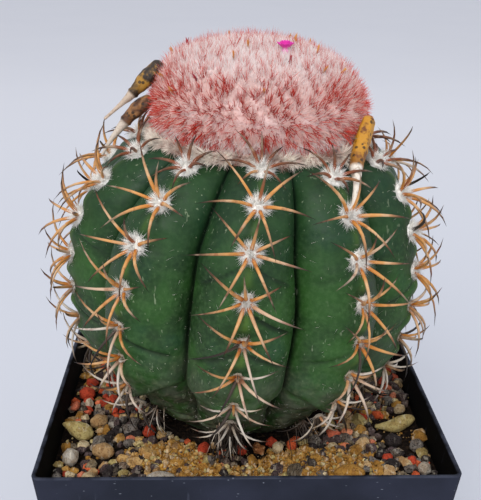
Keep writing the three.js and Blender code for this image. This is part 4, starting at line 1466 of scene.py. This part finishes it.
@dataclass
class Areole:
    """One areole: its place and the skin's outward, upward and sideways directions, in the plant's frame."""

    at: Points
    up: Points
    side: Points
    out: Points
    order: int
    rib: int
    age: float

    def spot(self, turn: float, radius: float, height: float, start: Points | None = None) -> Points:
        """A point by a turn from the upward direction, a radius, and a height off the skin."""
        across = self.up * math.cos(turn) * radius + self.side * math.sin(turn) * radius
        return (self.at if start is None else start) + across + self.out * height


@dataclass
class Areoles:
    """The woolly areoles down every rib and their hooked spines."""

    plant: Plant
    pad_rise: float = 0.7
    pad_radius: float = 3.8
    fresh_hairs: int = 880
    old_hairs: int = 130
    spines_per_areole: int = 7
    spine_length: float = 22.5
    old_spine_length: float = 15.0
    young_share: float = 0.7
    root_radius: float = 0.9
    spine_radius: float = 0.75
    upper_rise: float = 62.0
    rise: float = 38.0
    curl: float = 33.0
    dead_from: float = 115.0
    mix_level: float = 118.5
    dead_spines: int = 15
    lint_hairs: int = 1800
    lint_reach: tuple = (124.0, 110.0)
    mix_floor: float = 121.5
    rim_floor: float = 131.5
    rim_zone: tuple = (58.0, 68.0)
    cap_reach: float = 40.0
    skin_gap: float = 1.0
    lifts: tuple = (0, 8, 16, 24, 32, 40)
    turn_spread: float = 16.0
    rise_spread: float = 14.0
    length_spread: float = 0.24
    shares: tuple = (0.8, 0.78, 1, 1.05, 1, 1, 1.08)
    seed: int = 20517

    def areoles(self) -> list[Areole]:
        """All areoles, rib by rib from the crown down."""
        plant = self.plant
        found = []
        for rib in range(plant.rib_count):
            for order, start in enumerate(plant.areole_distances):
                distance = start + plant.drops[rib]
                at = plant.skin(distance, rib, 0.0, -plant.chin_relief)
                up = unit(plant.skin(distance - 2, rib, 0.0, 0.0) - plant.skin(distance + 2, rib, 0.0, 0.0))
                azimuth = plant.azimuth(rib, at[2])
                side = np.array([math.cos(azimuth), math.sin(azimuth), 0.0])
                out = unit(np.cross(side, up))
                age = order / (len(plant.areole_distances) - 1)
                found.append(Areole(at, up, np.cross(up, out), out, order, rib, age))
        return found

    def build(self) -> None:
        """Makes the wool and the spines of all areoles."""
        areoles = self.areoles()
        self.build_wool(areoles)
        self.build_spines(areoles)

    def build_wool(self, areoles: list[Areole]) -> None:
        """A felt pad and a ragged tuft of fine hairs on each areole; the old ones are thin and grey."""
        chance = np.random.default_rng(21)
        hair = strand_shape(3, (), lambda t: 1 - t)
        deselect()
        bpy.ops.mesh.primitive_uv_sphere_add(segments=12, ring_count=7, radius=1)
        dome = Shape.lifted(bpy.context.object)
        crowd = Crowd()
        for areole in areoles:
            fresh = 1 - smooth(areole.order, 1.8, 5.0)
            radius = mixed(2.2, self.pad_radius, fresh) * (1.0 if areole.order else 1.12)
            axes = np.stack([areole.up, areole.side, areole.out])
            lumps = 1 + 0.3 * ripple(dome.points, 0.45, areole.at[0])[:, None]
            pad = dome.points * [radius * 0.94, radius * 0.86, mixed(0.9, 2.2, fresh)] * lumps
            pad = pad @ axes + areole.spot(0, 0, self.pad_rise * 0.3)
            grey = mixed(0.12, 0.9, fresh)
            marks = {"along": np.ones((1, 1)), "tone": np.full((1, 1), mixed(0.15, 1.0, fresh))}
            crowd.add(self.plant.placed(pad)[None], dome.faces, **marks)
            count = int(mixed(self.old_hairs, self.fresh_hairs, fresh))
            turn = chance.uniform(0, math.tau, count)
            reach = np.sqrt(chance.uniform(0, 1, count))
            tilt = reach * 1.35 + chance.normal(0, 0.35, count)
            length = mixed(1.5, 2.7, fresh) * chance.uniform(0.4, 1.5, count) * (1.1 - 0.3 * reach)
            flat = np.cos(turn)[:, None] * areole.up + np.sin(turn)[:, None] * areole.side
            raised = areole.out * (2.0 * (1 - reach**2) * fresh + 0.3)[:, None]
            root = areole.at + flat * reach[:, None] * radius * 0.85 + raised
            aim = unit(flat * np.sin(tilt)[:, None] + areole.out * np.cos(tilt)[:, None])
            tip = root + aim * length[:, None] + chance.normal(0, 0.65, (count, 3))
            bend = (root + tip) / 2 + areole.out * 0.3 + chance.normal(0, 0.55, (count, 3))
            path = tuple(self.plant.placed(part) for part in (root, bend, tip))
            tone = np.clip(grey + chance.normal(0, 0.12, count), 0, 1)
            crowd.add_strands(hair, path, chance.uniform(0.05, 0.1, count), tone)
        self.add_lint(crowd, hair, chance)
        piece = crowd.piece("areole_wool")
        shade(piece)
        finish = WoolFinish("areole_wool", paint(138, 118, 92), paint(255, 253, 247), 0.0)
        dress(piece, finish.material(), "skin")

    def add_lint(self, crowd: Crowd, hair: Shape, chance: np.random.Generator) -> None:
        """Loose hairs and lint that cling to the skin between the ribs."""
        plant, count = self.plant, self.lint_hairs
        distance = self.lint_reach[0] - self.lint_reach[1] * chance.random(count) ** 1.5
        rib = chance.uniform(0, plant.rib_count, count)

        def spot(down: Points, across: Points) -> Points:
            """Points just off the skin."""
            flank = (2 * np.abs(across - np.round(across))) ** 0.83
            return plant.skin(down, across, flank, 0.9)

        turn = chance.uniform(0, math.tau, count)
        length = chance.uniform(0.5, 2.6, count)
        down, across = np.cos(turn) * length, np.sin(turn) * length / 40
        root, tip = spot(distance, rib), spot(distance + down, rib + across)
        bend = spot(distance + down / 2 - across * 24, rib + across / 2 + down / 60)
        path = tuple(plant.placed(part) for part in (root, bend, tip))
        crowd.add_strands(hair, path, chance.uniform(0.025, 0.05, count), chance.uniform(0.25, 0.7, count))

    def is_clear(self, points: Points) -> bool:
        """Whether points of a spine in the plant's frame keep off the skin, the mix and the pot's rim."""
        plant = self.plant
        from_axis = np.hypot(points[:, 0] - plant.shift(points[:, 2]), points[:, 1])
        if (from_axis < plant.skin_radius(points) + self.skin_gap).any():
            return False
        place = plant.placed(points)
        reach = np.abs(place[:, :2]).max(axis=1)
        floor = mixed(self.mix_floor, self.rim_floor, smooth(reach, *self.rim_zone))
        from_cap = np.hypot(points[:, 0] - plant.crown_shift, points[:, 1])
        in_cap = (points[:, 2] > plant.stem_top) & (from_cap < self.cap_reach)
        return not ((place[:, 2] < floor).any() or in_cap.any())

    def spine_path(
        self, areole: Areole, turn: float, rise: float, length: float
    ) -> tuple[Points, Points, Points]:
        """Root, bend and tip of a spine that leaves the skin at a rise and curls back."""
        root = areole.spot(turn, self.root_radius, 0.3)
        middle = areole.spot(turn, math.cos(rise) * length / 2, math.sin(rise) * length / 2, root)
        late = rise - math.radians(self.curl)
        tip = areole.spot(turn, math.cos(late) * length / 2, math.sin(late) * length / 2, middle)
        return root, 2 * middle - (root + tip) / 2, tip

    def build_spines(self, areoles: list[Areole]) -> None:
        """Seven hooked spines to an areole, the upper one most upright, each raised until it is clear."""
        stream, chance = Stream(self.seed), np.random.default_rng(22)
        shape = strand_shape(
            6, (0.12, 0.28, 0.45, 0.62, 0.8), lambda t: (1 - t) ** 0.55 * (1 + 0.2 * np.exp(-t / 0.05))
        )
        share = np.linspace(0.3, 1, 7)[:, None]
        paths, radii, tones = [], [], []

        def grow(areole: Areole, turn: float, rise: float, length: float, radius: float, tone: float) -> None:
            """Adds one spine, raised in steps until it is clear, or leaves it out."""
            for lift in self.lifts:
                path = self.spine_path(areole, turn, rise + math.radians(lift), length)
                root, bend, tip = path
                line = (1 - share) ** 2 * root + 2 * (1 - share) * share * bend + share**2 * tip
                if self.is_clear(line):
                    paths.append(path)
                    radii.append(radius)
                    tones.append(min(max(tone, 0.0), 1.0))
                    return

        for areole in areoles:
            length = mixed(self.spine_length, self.old_spine_length, areole.age**2)
            length *= 1.0 if areole.order else self.young_share
            for number in range(self.spines_per_areole):
                swing = (stream() - 0.5) * self.turn_spread
                turn = number * math.tau / self.spines_per_areole + math.radians(swing)
                lean = (stream() - 0.5) * self.rise_spread
                rise = math.radians((self.rise if number else self.upper_rise) + lean)
                own = length * self.shares[number] * (1 + (stream() - 0.5) * self.length_spread)
                upper = 0.4 * (areole.order == 0) + 0.16 * (number == 0)
                tone = min(0.36 + 0.62 * areole.age**1.4 + chance.normal(0, 0.11) - upper, 0.9)
                if chance.random() < 0.07 * (areole.order > 1) + 0.6 * smooth(areole.age, 0.8, 1.0):
                    tone = 1.0
                radius = self.spine_radius * mixed(1.0, 0.8, areole.age) * chance.uniform(0.85, 1.15)
                grow(areole, turn, rise, own, radius, tone)
            if areole.age == 1:
                for _ in range(self.dead_spines):
                    turn, rise = math.pi + chance.normal(0, 0.75), math.radians(chance.uniform(5, 55))
                    size, tone = chance.uniform(6, 15), chance.choice([0.88, 1.0, 1.0, 1.0])
                    grow(self.old_place(areole), turn, rise, size, 0.38, tone)
        path = tuple(self.plant.placed(np.array([one[part] for one in paths])) for part in range(3))
        crowd = Crowd()
        crowd.add_strands(shape, path, np.array(radii), np.array(tones))
        self.add_fallen(crowd, [areole for areole in areoles if areole.age == 1])
        piece = crowd.piece("spines")
        shade(piece)
        dress(piece, SpineFinish().material(), "skin")

    def add_fallen(self, crowd: Crowd, lowest: list[Areole]) -> None:
        """Adds dead spines that hang from the lowest areoles to the mix, most of them at the front.

        Args:
            crowd: Takes the spines.
            lowest: The lowest areole of each rib.
        """
        chance = np.random.default_rng(23)
        shape = strand_shape(4, (0.3, 0.7), lambda t: (1 - t) ** 0.5)
        for areole in lowest:
            foot = self.plant.placed(self.old_place(areole).at[None])[0]
            away = unit(foot * [1, 1, 0])
            around = np.array([-away[1], away[0], 0.0])
            count = int(mixed(9, 38, smooth(-away[1], 0.9, 0.98)))
            turn = chance.normal(0, 0.75, count)
            aim = np.outer(np.cos(turn), away) + np.outer(np.sin(turn), around)
            inwards = np.outer(chance.uniform(-4.5, -0.5, count), away)
            root = foot + inwards + np.outer(chance.normal(0, 3, count), around)
            root[:, 2] = np.maximum(foot[2] + chance.normal(-1.5, 2.0, count), self.mix_level + 2)
            tip = root + aim * chance.uniform(3, 9.5, count)[:, None]
            tip[:, 2] = self.mix_level + chance.uniform(0.6, 2.6, count)
            bend = (root + tip) / 2 + [0, 0, 1] * chance.uniform(0, 2, (count, 1)) + away * 1.2
            tone = chance.choice([0.8, 1.0, 1.0, 1.0], count)
            crowd.add_strands(shape, (root, bend, tip), chance.uniform(0.18, 0.36, count), tone)

    def old_place(self, areole: Areole) -> Areole:
        """The place below the last areole of a rib where its dead spines hang."""
        at = self.plant.skin(self.dead_from + self.plant.drops[areole.rib], areole.rib, 0.0, -2.0)
        return replace(areole, at=at)


@dataclass
class Cap:
    """The woolly bristled cap on the crown, with old florets."""

    plant: Plant
    gap: float = 0.3
    height: float = 37.0
    line: tuple = (
        (36.5, 0.0),
        (38.6, 3.5),
        (39.6, 10.0),
        (38.8, 18.0),
        (34.0, 27.0),
        (28.2, 31.4),
        (19.4, 34.6),
        (10.0, 36.4),
    )
    lean: float = 1.9
    lean_zone: tuple = (12.0, 34.0)
    core_inset: float = 1.0
    clumps: int = 1900
    bristles_per_clump: int = 9
    hanging_bristles: int = 900
    florets: int = 22
    floret_range: tuple = (0.3, 0.8)
    wool_strands: int = 46000
    skirt_hairs: int = 5000
    collar_radius: float = 39.2
    collar_size: float = 1.9
    collar_hairs: int = 16000

    def __post_init__(self) -> None:
        """Samples the cap's outline, closed to its top, and the area below each of its points."""
        self.outline, self.along = spline([*self.line, (0.0, self.height)])
        radius = self.outline[:, 0]
        self.area = np.concatenate([[0], np.cumsum((radius[1:] + radius[:-1]) / 2 * np.diff(self.along))])

    def placed(self, points: Points) -> Points:
        """Points of the cap's frame in the pot's frame."""
        return self.plant.placed(points + [self.plant.crown_shift, 0, self.plant.stem_top + self.gap])

    def share_at(self, area: Points) -> Points:
        """Share up the outline below which a share of the area lies."""
        return np.interp(area, self.area / self.area[-1], self.along / self.along[-1])

    def frame_at(self, share: Points, azimuth: Points) -> tuple[Points, Points, Points, Points]:
        """Points of the cap's surface, and the directions straight out of it, round it and up it."""
        distance = np.asarray(share) * self.along[-1]
        radius, height = (np.interp(distance, self.along, self.outline[:, axis]) for axis in (0, 1))
        ahead = np.minimum(distance + 0.5, self.along[-1])
        behind = np.maximum(distance - 0.5, 0)
        slope = [
            np.interp(ahead, self.along, values) - np.interp(behind, self.along, values)
            for values in (self.outline[:, 0], self.outline[:, 1])
        ]
        slope = unit(np.stack(slope, -1))
        away = np.stack([np.sin(azimuth), -np.cos(azimuth), np.zeros_like(azimuth)], -1)
        around = np.stack([np.cos(azimuth), np.sin(azimuth), np.zeros_like(azimuth)], -1)
        top = np.array([0.0, 0.0, 1.0])
        point = away * radius[:, None] + top * height[:, None]
        point[:, 0] -= self.lean * smooth(height, *self.lean_zone)
        out = away * slope[:, 1:2] - top * slope[:, 0:1]
        upward = away * slope[:, 0:1] + top * slope[:, 1:2]
        return point, out, around, upward

    def redness(self, point: Points, share: Points) -> Points:
        """How thickly the red bristles stand: most on the flanks, in patches, and thinly at the top."""
        dome = smooth(share, 0.26, 0.56)
        level = 0.72 - 0.08 * smooth(share, 0.1, 0.2) - 0.48 * dome
        level = level + (0.42 * ripple(point, 9.0, 5.0) + 0.36 * ripple(point, 3.5, 9.0)) * (1 - 0.6 * dome)
        return np.clip(level, 0.03, 1)

    def build(self) -> None:
        """Makes the felt core, the wool, the bristles and the old florets."""
        self.build_core()
        self.build_collar()
        self.build_bristles()
        self.build_wool()
        self.build_florets()

    def build_core(self) -> None:
        """The felt under the bristles, from its flat underside to its top."""

        def place(u: Points, v: Points) -> Points:
            """Points of the core for shares round it and up it."""
            share = np.clip((v - 0.05) / 0.95, 0, 1)
            point, out, _, _ = self.frame_at(share, u * math.tau)
            tufts = 0.5 * ripple(point, 4.0) + 0.6 * ripple(point * [1, 1, 0.6], 1.5)
            point = point + out * ((tufts - self.core_inset) * smooth(share, 0, 0.04))[:, None]
            under = np.clip(v / 0.05, 0, 1)[:, None]
            return self.placed(np.where(under < 1, point * [1, 1, 0] * under, point))

        def tone(u: Points, v: Points) -> Points:
            """Pale where there are few bristles."""
            share = np.clip((v - 0.05) / 0.95, 0, 1)
            return 0.95 - 0.5 * self.redness(self.frame_at(share, u * math.tau)[0], share)

        marks = {"along": lambda u, v: np.full(len(u), 0.6), "tone": tone}
        piece = wrapped_grid("cap_core", 160, 90, place, marks)
        finish = WoolFinish("cap_felt", paint(202, 124, 106), paint(232, 216, 213), 0.1)
        dress(piece, finish.material(), "cap", "cephalium")

    def build_collar(self) -> None:
        """The ring of cream wool that the cap sits on, with painted shade in its core and between its tufts.
        """
        chance = np.random.default_rng(34)
        deselect()
        radii = {"major_radius": self.collar_radius, "minor_radius": self.collar_size}
        bpy.ops.mesh.primitive_torus_add(major_segments=150, minor_segments=14, **radii)
        piece = bpy.context.object
        piece.name = "cap_collar"
        points = points_of(piece)
        centre = unit(points * [1, 1, 0]) * self.collar_radius
        lumps = 1 + 0.7 * ripple(points, 4.4) + 0.35 * ripple(points, 1.3)
        sway = ripple(centre, 8.0, 3.0)[:, None] * unit(centre) * 2.0
        ring = centre + sway + (points - centre) * [1, 1, 0.9] * lumps[:, None]
        move_points(piece, self.placed(ring + [0, 0, 0.4]) * MM)
        shade(piece)
        # The ring's low tone is painted shade: a darker core under the hairs.
        for name, value in (("along", 0.6), ("tone", 0.3)):
            mark(piece, name, np.full(len(points), value))
        cream = WoolFinish("collar_wool", paint(148, 98, 82), paint(252, 244, 230), 0.12).material()
        dress(piece, cream, "cap")
        soft, size = strand_shape(3, (), lambda t: 1 - t), self.collar_hairs
        azimuth = chance.uniform(0, math.tau, size)
        away = np.stack([np.sin(azimuth), -np.cos(azimuth), np.zeros(size)], -1)
        around = np.stack([np.cos(azimuth), np.sin(azimuth), np.zeros(size)], -1)
        droop = chance.uniform(-0.8, 1.6, size)[:, None]
        aim = unit(away + [0, 0, 1] * droop)
        patch = 2.0 * ripple(away * self.collar_radius, 8.0, 3.0)[:, None]
        start = aim * self.collar_size * chance.uniform(0.4, 1.0, (size, 1))
        root = away * (self.collar_radius + patch) + start + [0, 0, 0.6]
        tuft = np.stack([ripple(root, 1.6, 2.0 + 4 * axis) for axis in range(3)], -1)
        stray = around * chance.normal(0, 0.3, (size, 1))
        aim = unit(aim + tuft * 1.6 + stray + chance.normal(0, 0.2, (size, 3)))
        tip = root + aim * chance.uniform(1.0, 4.2, (size, 1)) * (1 + 0.35 * patch)
        bend = (root + tip) / 2
        crowd = Crowd()
        path = tuple(self.placed(part) for part in (root, bend, tip))
        # Tone in patches: partly the wool's own mottle, partly painted shade between the tufts.
        mottle = ripple(root, 3.6, 7.0)
        tone = 0.6 + 0.9 * mottle + 0.3 * tuft[:, 2] + 0.1 * patch[:, 0] + chance.normal(0, 0.12, size)
        crowd.add_strands(soft, path, chance.uniform(0.1, 0.2, size), np.clip(tone, 0, 1))
        dress(crowd.piece("collar_hairs"), cream, "cap")

    def sweep_at(self, share: Points) -> Points:
        """How far the hairs lean up from straight out: down at the foot, most upright on the upper flanks."""
        return mixed(-1.1, 0.75, smooth(share, 0.0, 0.36)) - 0.65 * smooth(share, 0.45, 0.95)

    def strands(
        self,
        share: Points,
        azimuth: Points,
        spread: float,
        length: Points,
        sink: float,
        chance: np.random.Generator,
    ) -> tuple:
        """Roots, bends and tips of hairs that leave the surface about the same way.

        Args:
            share: Share up the outline of each root.
            azimuth: Azimuth of each root.
            spread: How far the hairs stray from one way.
            length: Length of each hair.
            sink: How deep the roots lie below the surface.
            chance: Source of the scatter.

        Returns:
            The three points of each hair, in the pot's frame.
        """
        point, out, around, upward = self.frame_at(share, azimuth)
        size = len(share)
        aim = out + upward * (self.sweep_at(share)[:, None] + chance.normal(0, spread, (size, 1)))
        aim = unit(aim + around * chance.normal(0, spread, (size, 1)))
        root = point - out * sink
        tip = root + aim * length[:, None]
        bend = root + aim * length[:, None] * 0.5 + out * 0.25 + chance.normal(0, 0.16, (size, 3))
        return tuple(self.placed(part) for part in (root, bend, tip))

    def build_bristles(self) -> None:
        """Red bristles that fan out of small clumps set in spirals."""
        chance = np.random.default_rng(31)
        stiff = strand_shape(3, (), lambda t: 1 - t)
        number = np.arange(self.clumps)
        share = self.share_at((number + 0.5) / self.clumps)
        azimuth = number * math.pi * (3 - math.sqrt(5)) + chance.normal(0, 0.04, self.clumps)
        redness = self.redness(self.frame_at(share, azimuth)[0], share)
        strength = np.clip(redness + chance.normal(0, 0.2, self.clumps), 0, 1)
        which = np.repeat(number, self.bristles_per_clump)
        which = which[chance.random(len(which)) < 0.14 + 0.86 * strength[which]]
        radius = np.maximum(np.interp(share * self.along[-1], self.along, self.outline[:, 0]), 3)
        roots = share[which] + chance.normal(0, 0.5, len(which)) / self.along[-1]
        turns = azimuth[which] + chance.normal(0, 0.5, len(which)) / radius[which]
        tone = np.clip(strength[which] + chance.normal(0, 0.14, len(which)), 0, 1)
        hanging = chance.random(self.hanging_bristles)
        roots = np.concatenate([roots, 0.05 * hanging])
        turns = np.concatenate([turns, chance.uniform(0, math.tau, len(hanging))])
        tone = np.concatenate([tone, 0.5 + 0.5 * hanging])
        length = chance.uniform(3.2, 5.8, len(tone))
        path = self.strands(np.clip(roots, 0, 1), turns, 0.38, length, 0.9, chance)
        crowd = Crowd()
        crowd.add_strands(stiff, path, chance.uniform(0.08, 0.12, len(tone)) + 0.08 * tone, tone)
        piece = crowd.piece("cap_bristles")
        dress(piece, BristleFinish().material(), "cap")

    def build_wool(self) -> None:
        """White wool between the bristles, and a cream skirt round the foot."""
        chance = np.random.default_rng(33)
        soft = strand_shape(3, (), lambda t: 1 - t)
        share = self.share_at(chance.random(self.wool_strands))
        azimuth = chance.uniform(0, math.tau, self.wool_strands)
        redness = self.redness(self.frame_at(share, azimuth)[0], share)
        kept = chance.random(self.wool_strands) < 1.0 - 0.4 * redness
        share, azimuth, redness = share[kept], azimuth[kept], redness[kept]
        path = self.strands(share, azimuth, 0.6, chance.uniform(1.8, 3.6, len(share)), 0.9, chance)
        tone = 0.6 - 0.35 * redness + 0.4 * smooth(share, 0.26, 0.6)
        tone = np.clip(tone + chance.normal(0, 0.18, len(share)), 0, 1)
        crowd = Crowd()
        crowd.add_strands(soft, path, chance.uniform(0.06, 0.12, len(share)), tone)
        size = self.skirt_hairs
        share = chance.uniform(0.0, 0.12, size)
        azimuth = chance.uniform(0, math.tau, size)
        path = self.strands(share, azimuth, 0.75, chance.uniform(1.6, 3.6, size), 0.5, chance)
        crowd.add_strands(soft, path, chance.uniform(0.08, 0.14, size), chance.uniform(0.75, 1.0, size))
        piece = crowd.piece("cap_wool")
        finish = WoolFinish("cap_wool", paint(230, 174, 156), paint(238, 231, 229), 0.12)
        dress(piece, finish.material(), "cap")

    def build_florets(self) -> None:
        """Dry remains of old flowers that stick out of the wool."""
        chance = np.random.default_rng(32)
        share = chance.uniform(*self.floret_range, self.florets)
        azimuth = (np.arange(self.florets) + chance.uniform(0, 0.8, self.florets)) * math.tau / self.florets
        tone = chance.choice([0.0, 0.3, 1.0], self.florets)
        shape = strand_shape(5, (0.3, 0.7), lambda t: 0.8 + 0.6 * t - 0.9 * t**3)
        crowd = Crowd()
        for place in range(self.florets):
            point, out, _, _ = self.frame_at(share[place : place + 1], azimuth[place : place + 1])
            aim = unit(out + [0, 0, 0.25])
            for _ in range(4):
                shift = chance.normal(0, 0.3, (1, 3))
                parts = (point + shift, point + aim * 1.3 - shift, point + aim * 2.6 + 1.6 * shift)
                path = tuple(self.placed(part) for part in parts)
                crowd.add_strands(shape, path, np.array([0.36]), tone[place : place + 1])
        piece = crowd.piece("old_florets")
        shade(piece)
        dress(piece, WoolFinish("old_floret", paint(200, 140, 70), paint(150, 40, 50), 0.3).material(), "cap")


@dataclass
class Flower:
    """The small open flower on the cap: a tube and two rings of bent petals."""

    foot: Triple = (12.7, -15.5, 264.4)
    width: float = 7.6
    tube_length: float = 4.2
    tube_radius: float = 1.3
    petals: int = 9

    def build(self) -> bpy.types.Object:
        """Models one petal, copies it round, and adds the tube."""
        crowd = Crowd()
        petal = self.petal()
        half = self.width / 2
        for ring, (spread, length) in enumerate(((28, 1.0), (52, 0.84))):
            for number in range(self.petals):
                turn = Matrix.Rotation((number + 0.5 * ring) * math.tau / self.petals, 3, "Z")
                tilt = Matrix.Rotation(-math.radians(spread), 3, "Y")
                spin = np.array(turn @ tilt)
                points = petal.points * [half * length, half, half]
                placed = points @ spin.T + self.foot + [0, 0, self.tube_length - 0.9]
                crowd.add(placed[None], petal.faces, along=petal.points[:, 0][None])
        tube = strand_shape(10, (0.3, 0.7), lambda t: np.ones_like(t))
        tube.points[tube.points[:, 2] > 0.99, :2] *= 0.5
        points = tube.points * [self.tube_radius, self.tube_radius, self.tube_length] + self.foot
        crowd.add(points[None], tube.faces, along=np.full((1, 1), 0.2))
        piece = crowd.piece("open_flower")
        shade(piece)
        return dress(piece, PetalFinish().material(), "petals", "flower")

    def petal(self) -> Shape:
        """A pointed petal along X from 0 to 1, hollowed and with a thickness."""
        deselect()
        bpy.ops.mesh.primitive_grid_add(x_subdivisions=8, y_subdivisions=4, size=1, location=(0.5, 0, 0))
        piece = bpy.context.object
        bpy.ops.object.transform_apply(location=True)
        points = points_of(piece)
        x = points[:, 0]
        points[:, 1] *= 0.75 * np.sin(math.pi * np.clip(0.12 + 0.86 * x, 0, 1)) ** 0.7
        points[:, 2] = 0.35 * points[:, 1] ** 2 * 2 + 0.16 * x**2
        move_points(piece, points)
        apply_modifier(piece, "SOLIDIFY", thickness=0.05, offset=0)
        return Shape.lifted(piece)


@dataclass
class Fruit:
    """A dried fruit: a thin stalk that swells into a wrinkled pod."""

    node: str
    slot: str
    path: tuple
    radii: tuple
    finish: PodFinish

    def build(self) -> bpy.types.Object:
        """Bends the fruit's skin round its path."""
        samples, _ = spline(self.path)
        widths, _ = spline([(i / (len(self.radii) - 1), r) for i, r in enumerate(self.radii)])
        knots = np.linspace(0, 1, len(samples))

        def middle(distance: Points) -> Points:
            """Points of the path at shares of it."""
            return np.stack([np.interp(distance, knots, samples[:, axis]) for axis in range(3)], -1)

        def place(u: Points, v: Points) -> Points:
            """Points of the fruit for shares round it and along it."""
            distance = np.clip((v - 0.02) / 0.96, 0, 1)
            centre = middle(distance)
            tangent = unit(middle(np.minimum(distance + 0.01, 1)) - middle(np.maximum(distance - 0.01, 0)))
            first = unit(np.cross([[0.3, 0.9, 0.2]], tangent))
            second = np.cross(tangent, first)
            radius = np.interp(distance, widths[:, 0], widths[:, 1])
            radius = radius + 0.35 * np.exp(-(((distance - 0.5) / 0.02) ** 2))
            radius = radius * np.sqrt(np.clip(np.minimum(v / 0.02, (1 - v) / 0.07), 0, 1))
            angle = u * math.tau
            wrinkle = 1 + 0.07 * np.cos(5 * angle + 6 * distance) * smooth(distance, 0.45, 0.6)
            spot = centre + np.cos(angle)[:, None] * first * 2 + np.sin(angle)[:, None] * second * 2
            wrinkle = wrinkle + 0.12 * ripple(spot, 2.4)
            arms = first * np.cos(angle)[:, None] + second * np.sin(angle)[:, None]
            return centre + arms * (radius * wrinkle)[:, None]

        piece = wrapped_grid(f"{self.node}_skin", 28, 96, place, {"along": lambda u, v: v})
        return dress(piece, self.finish.material(), self.slot, self.node)


def fruits() -> list[Fruit]:
    """The three dried fruits by the cap."""
    return [
        Fruit(
            "dried_fruit_right",
            "dried_fruit",
            (
                (33.6, -50.8, 217.8),
                (36, -44.6, 226),
                (37, -36.2, 230.6),
                (40.2, -27, 237.6),
                (43.6, -19.6, 244.4),
            ),
            (0.5, 1.1, 2.3, 2.8, 2.3),
            PodFinish("pod_mustard", paint(230, 220, 206), paint(190, 134, 34), paint(112, 64, 22), 0.25),
        ),
        Fruit(
            "dried_fruit_left_upper",
            "dried_fruit_brown",
            (
                (-52.9, -7.7, 240.4),
                (-47.5, -6, 245),
                (-42.3, -4.7, 249.6),
                (-37, -3.6, 255.2),
                (-31.8, -2.8, 260.8),
            ),
            (0.5, 0.8, 1.9, 3.0, 2.0),
            PodFinish("pod_charred", paint(190, 170, 150), paint(166, 122, 44), paint(44, 31, 20), 0.62),
        ),
        Fruit(
            "dried_fruit_left_lower",
            "dried_fruit_husk",
            (
                (-54, -9.5, 227.2),
                (-51.5, -7.4, 231.5),
                (-45.2, -5.4, 239.3),
                (-40.6, -4.4, 243.8),
                (-35.6, -4, 247.9),
            ),
            (0.5, 0.8, 1.9, 2.9, 1.8),
            PodFinish("pod_husk", paint(206, 192, 176), paint(150, 104, 58), paint(84, 52, 30), 0.5),
        ),
    ]


# The studio


@dataclass
class Studio:
    """Floor, lights and the camera at the photograph's place."""

    camera_place: Triple = (-14.1, -320.8, 307.7)
    yaw: float = 2.289
    pitch: float = 20.80
    roll: float = 1.012
    lens: float = 61.2
    sensor: float = 36.0
    sky_colour: tuple = (0.90, 0.92, 1.0, 1)
    sky_strength: float = 0.78

    def build(self) -> None:
        """Sets up all of it."""
        self.build_floor()
        self.build_lights()
        self.build_camera()

    def build_floor(self) -> None:
        """A wide pale floor."""
        deselect()
        bpy.ops.mesh.primitive_grid_add(x_subdivisions=8, y_subdivisions=8, size=16)
        floor = bpy.context.object
        floor.name = "floor"
        floor.data.materials.append(FloorFinish().material())

    def add_light(self, name: str, place: Triple, size: float, power: float, colour: Triple) -> None:
        """A square soft light aimed at the plant.

        Args:
            name: The light's name.
            place: Degrees from the front, positive to the right, degrees up, and metres away.
            size: Side of the light in metres.
            power: Watts.
            colour: Red, green and blue.
        """
        turn, rise = math.radians(place[0]), math.radians(place[1])
        aim = Vector((math.sin(turn) * math.cos(rise), -math.cos(turn) * math.cos(rise), math.sin(rise)))
        lamp = bpy.data.lights.new(name, "AREA")
        lamp.shape = "SQUARE"
        lamp.size = size
        lamp.energy = power
        lamp.color = colour
        holder = bpy.data.objects.new(name, lamp)
        holder.location = Vector((0, 0, 0.18)) + aim * place[2]
        holder.rotation_euler = aim.to_track_quat("Z", "Y").to_euler()
        bpy.context.collection.objects.link(holder)

    def build_lights(self) -> None:
        """A soft key from the upper left, a fill from the right, a soft top and a pale sky."""
        self.add_light("key", (-22, 38, 1.4), 0.6, 12.0, (1.0, 0.985, 0.96))
        self.add_light("fill", (48, 28, 1.6), 1.2, 3.0, (0.95, 0.97, 1.0))
        self.add_light("top", (150, 72, 1.4), 1.0, 3.0, (0.97, 0.98, 1.0))
        world = bpy.data.worlds.new("pale_sky")
        bpy.context.scene.world = world
        world.use_nodes = True
        sky = world.node_tree.nodes["Background"]
        sky.inputs["Color"].default_value = self.sky_colour
        sky.inputs["Strength"].default_value = self.sky_strength

    def build_camera(self) -> None:
        """The camera, from its place, its turn, its tilt and its lean."""
        yaw, pitch, roll = (math.radians(angle) for angle in (self.yaw, self.pitch, self.roll))
        ahead = Vector((math.sin(yaw) * math.cos(pitch), math.cos(yaw) * math.cos(pitch), -math.sin(pitch)))
        level = Vector((math.cos(yaw), -math.sin(yaw), 0))
        upright = level.cross(ahead)
        right = level * math.cos(roll) + upright * math.sin(roll)
        up = upright * math.cos(roll) - level * math.sin(roll)
        data = bpy.data.cameras.new("camera")
        data.sensor_fit = "VERTICAL"
        data.sensor_height = self.sensor
        data.lens = self.lens
        data.clip_start = 0.01
        camera = bpy.data.objects.new("camera", data)
        turn = Matrix((right, up, -ahead)).transposed().to_4x4()
        camera.matrix_world = Matrix.Translation(Vector(self.camera_place) * MM) @ turn
        bpy.context.collection.objects.link(camera)
        bpy.context.scene.camera = camera
        bpy.context.scene.view_settings.view_transform = "Standard"


def main() -> None:
    """Builds the model piece by piece."""
    logging.basicConfig(level=logging.INFO, format="%(message)s")
    Studio().build()
    Pot().build()
    pebbles = Pebbles()
    Grit().build(pebbles.places())
    pebbles.build()
    plant = Plant()
    Body(plant).build()
    Areoles(plant).build()
    Cap(plant).build()
    Flower().build()
    for fruit in fruits():
        fruit.build()


if __name__ == "__main__":
    main()
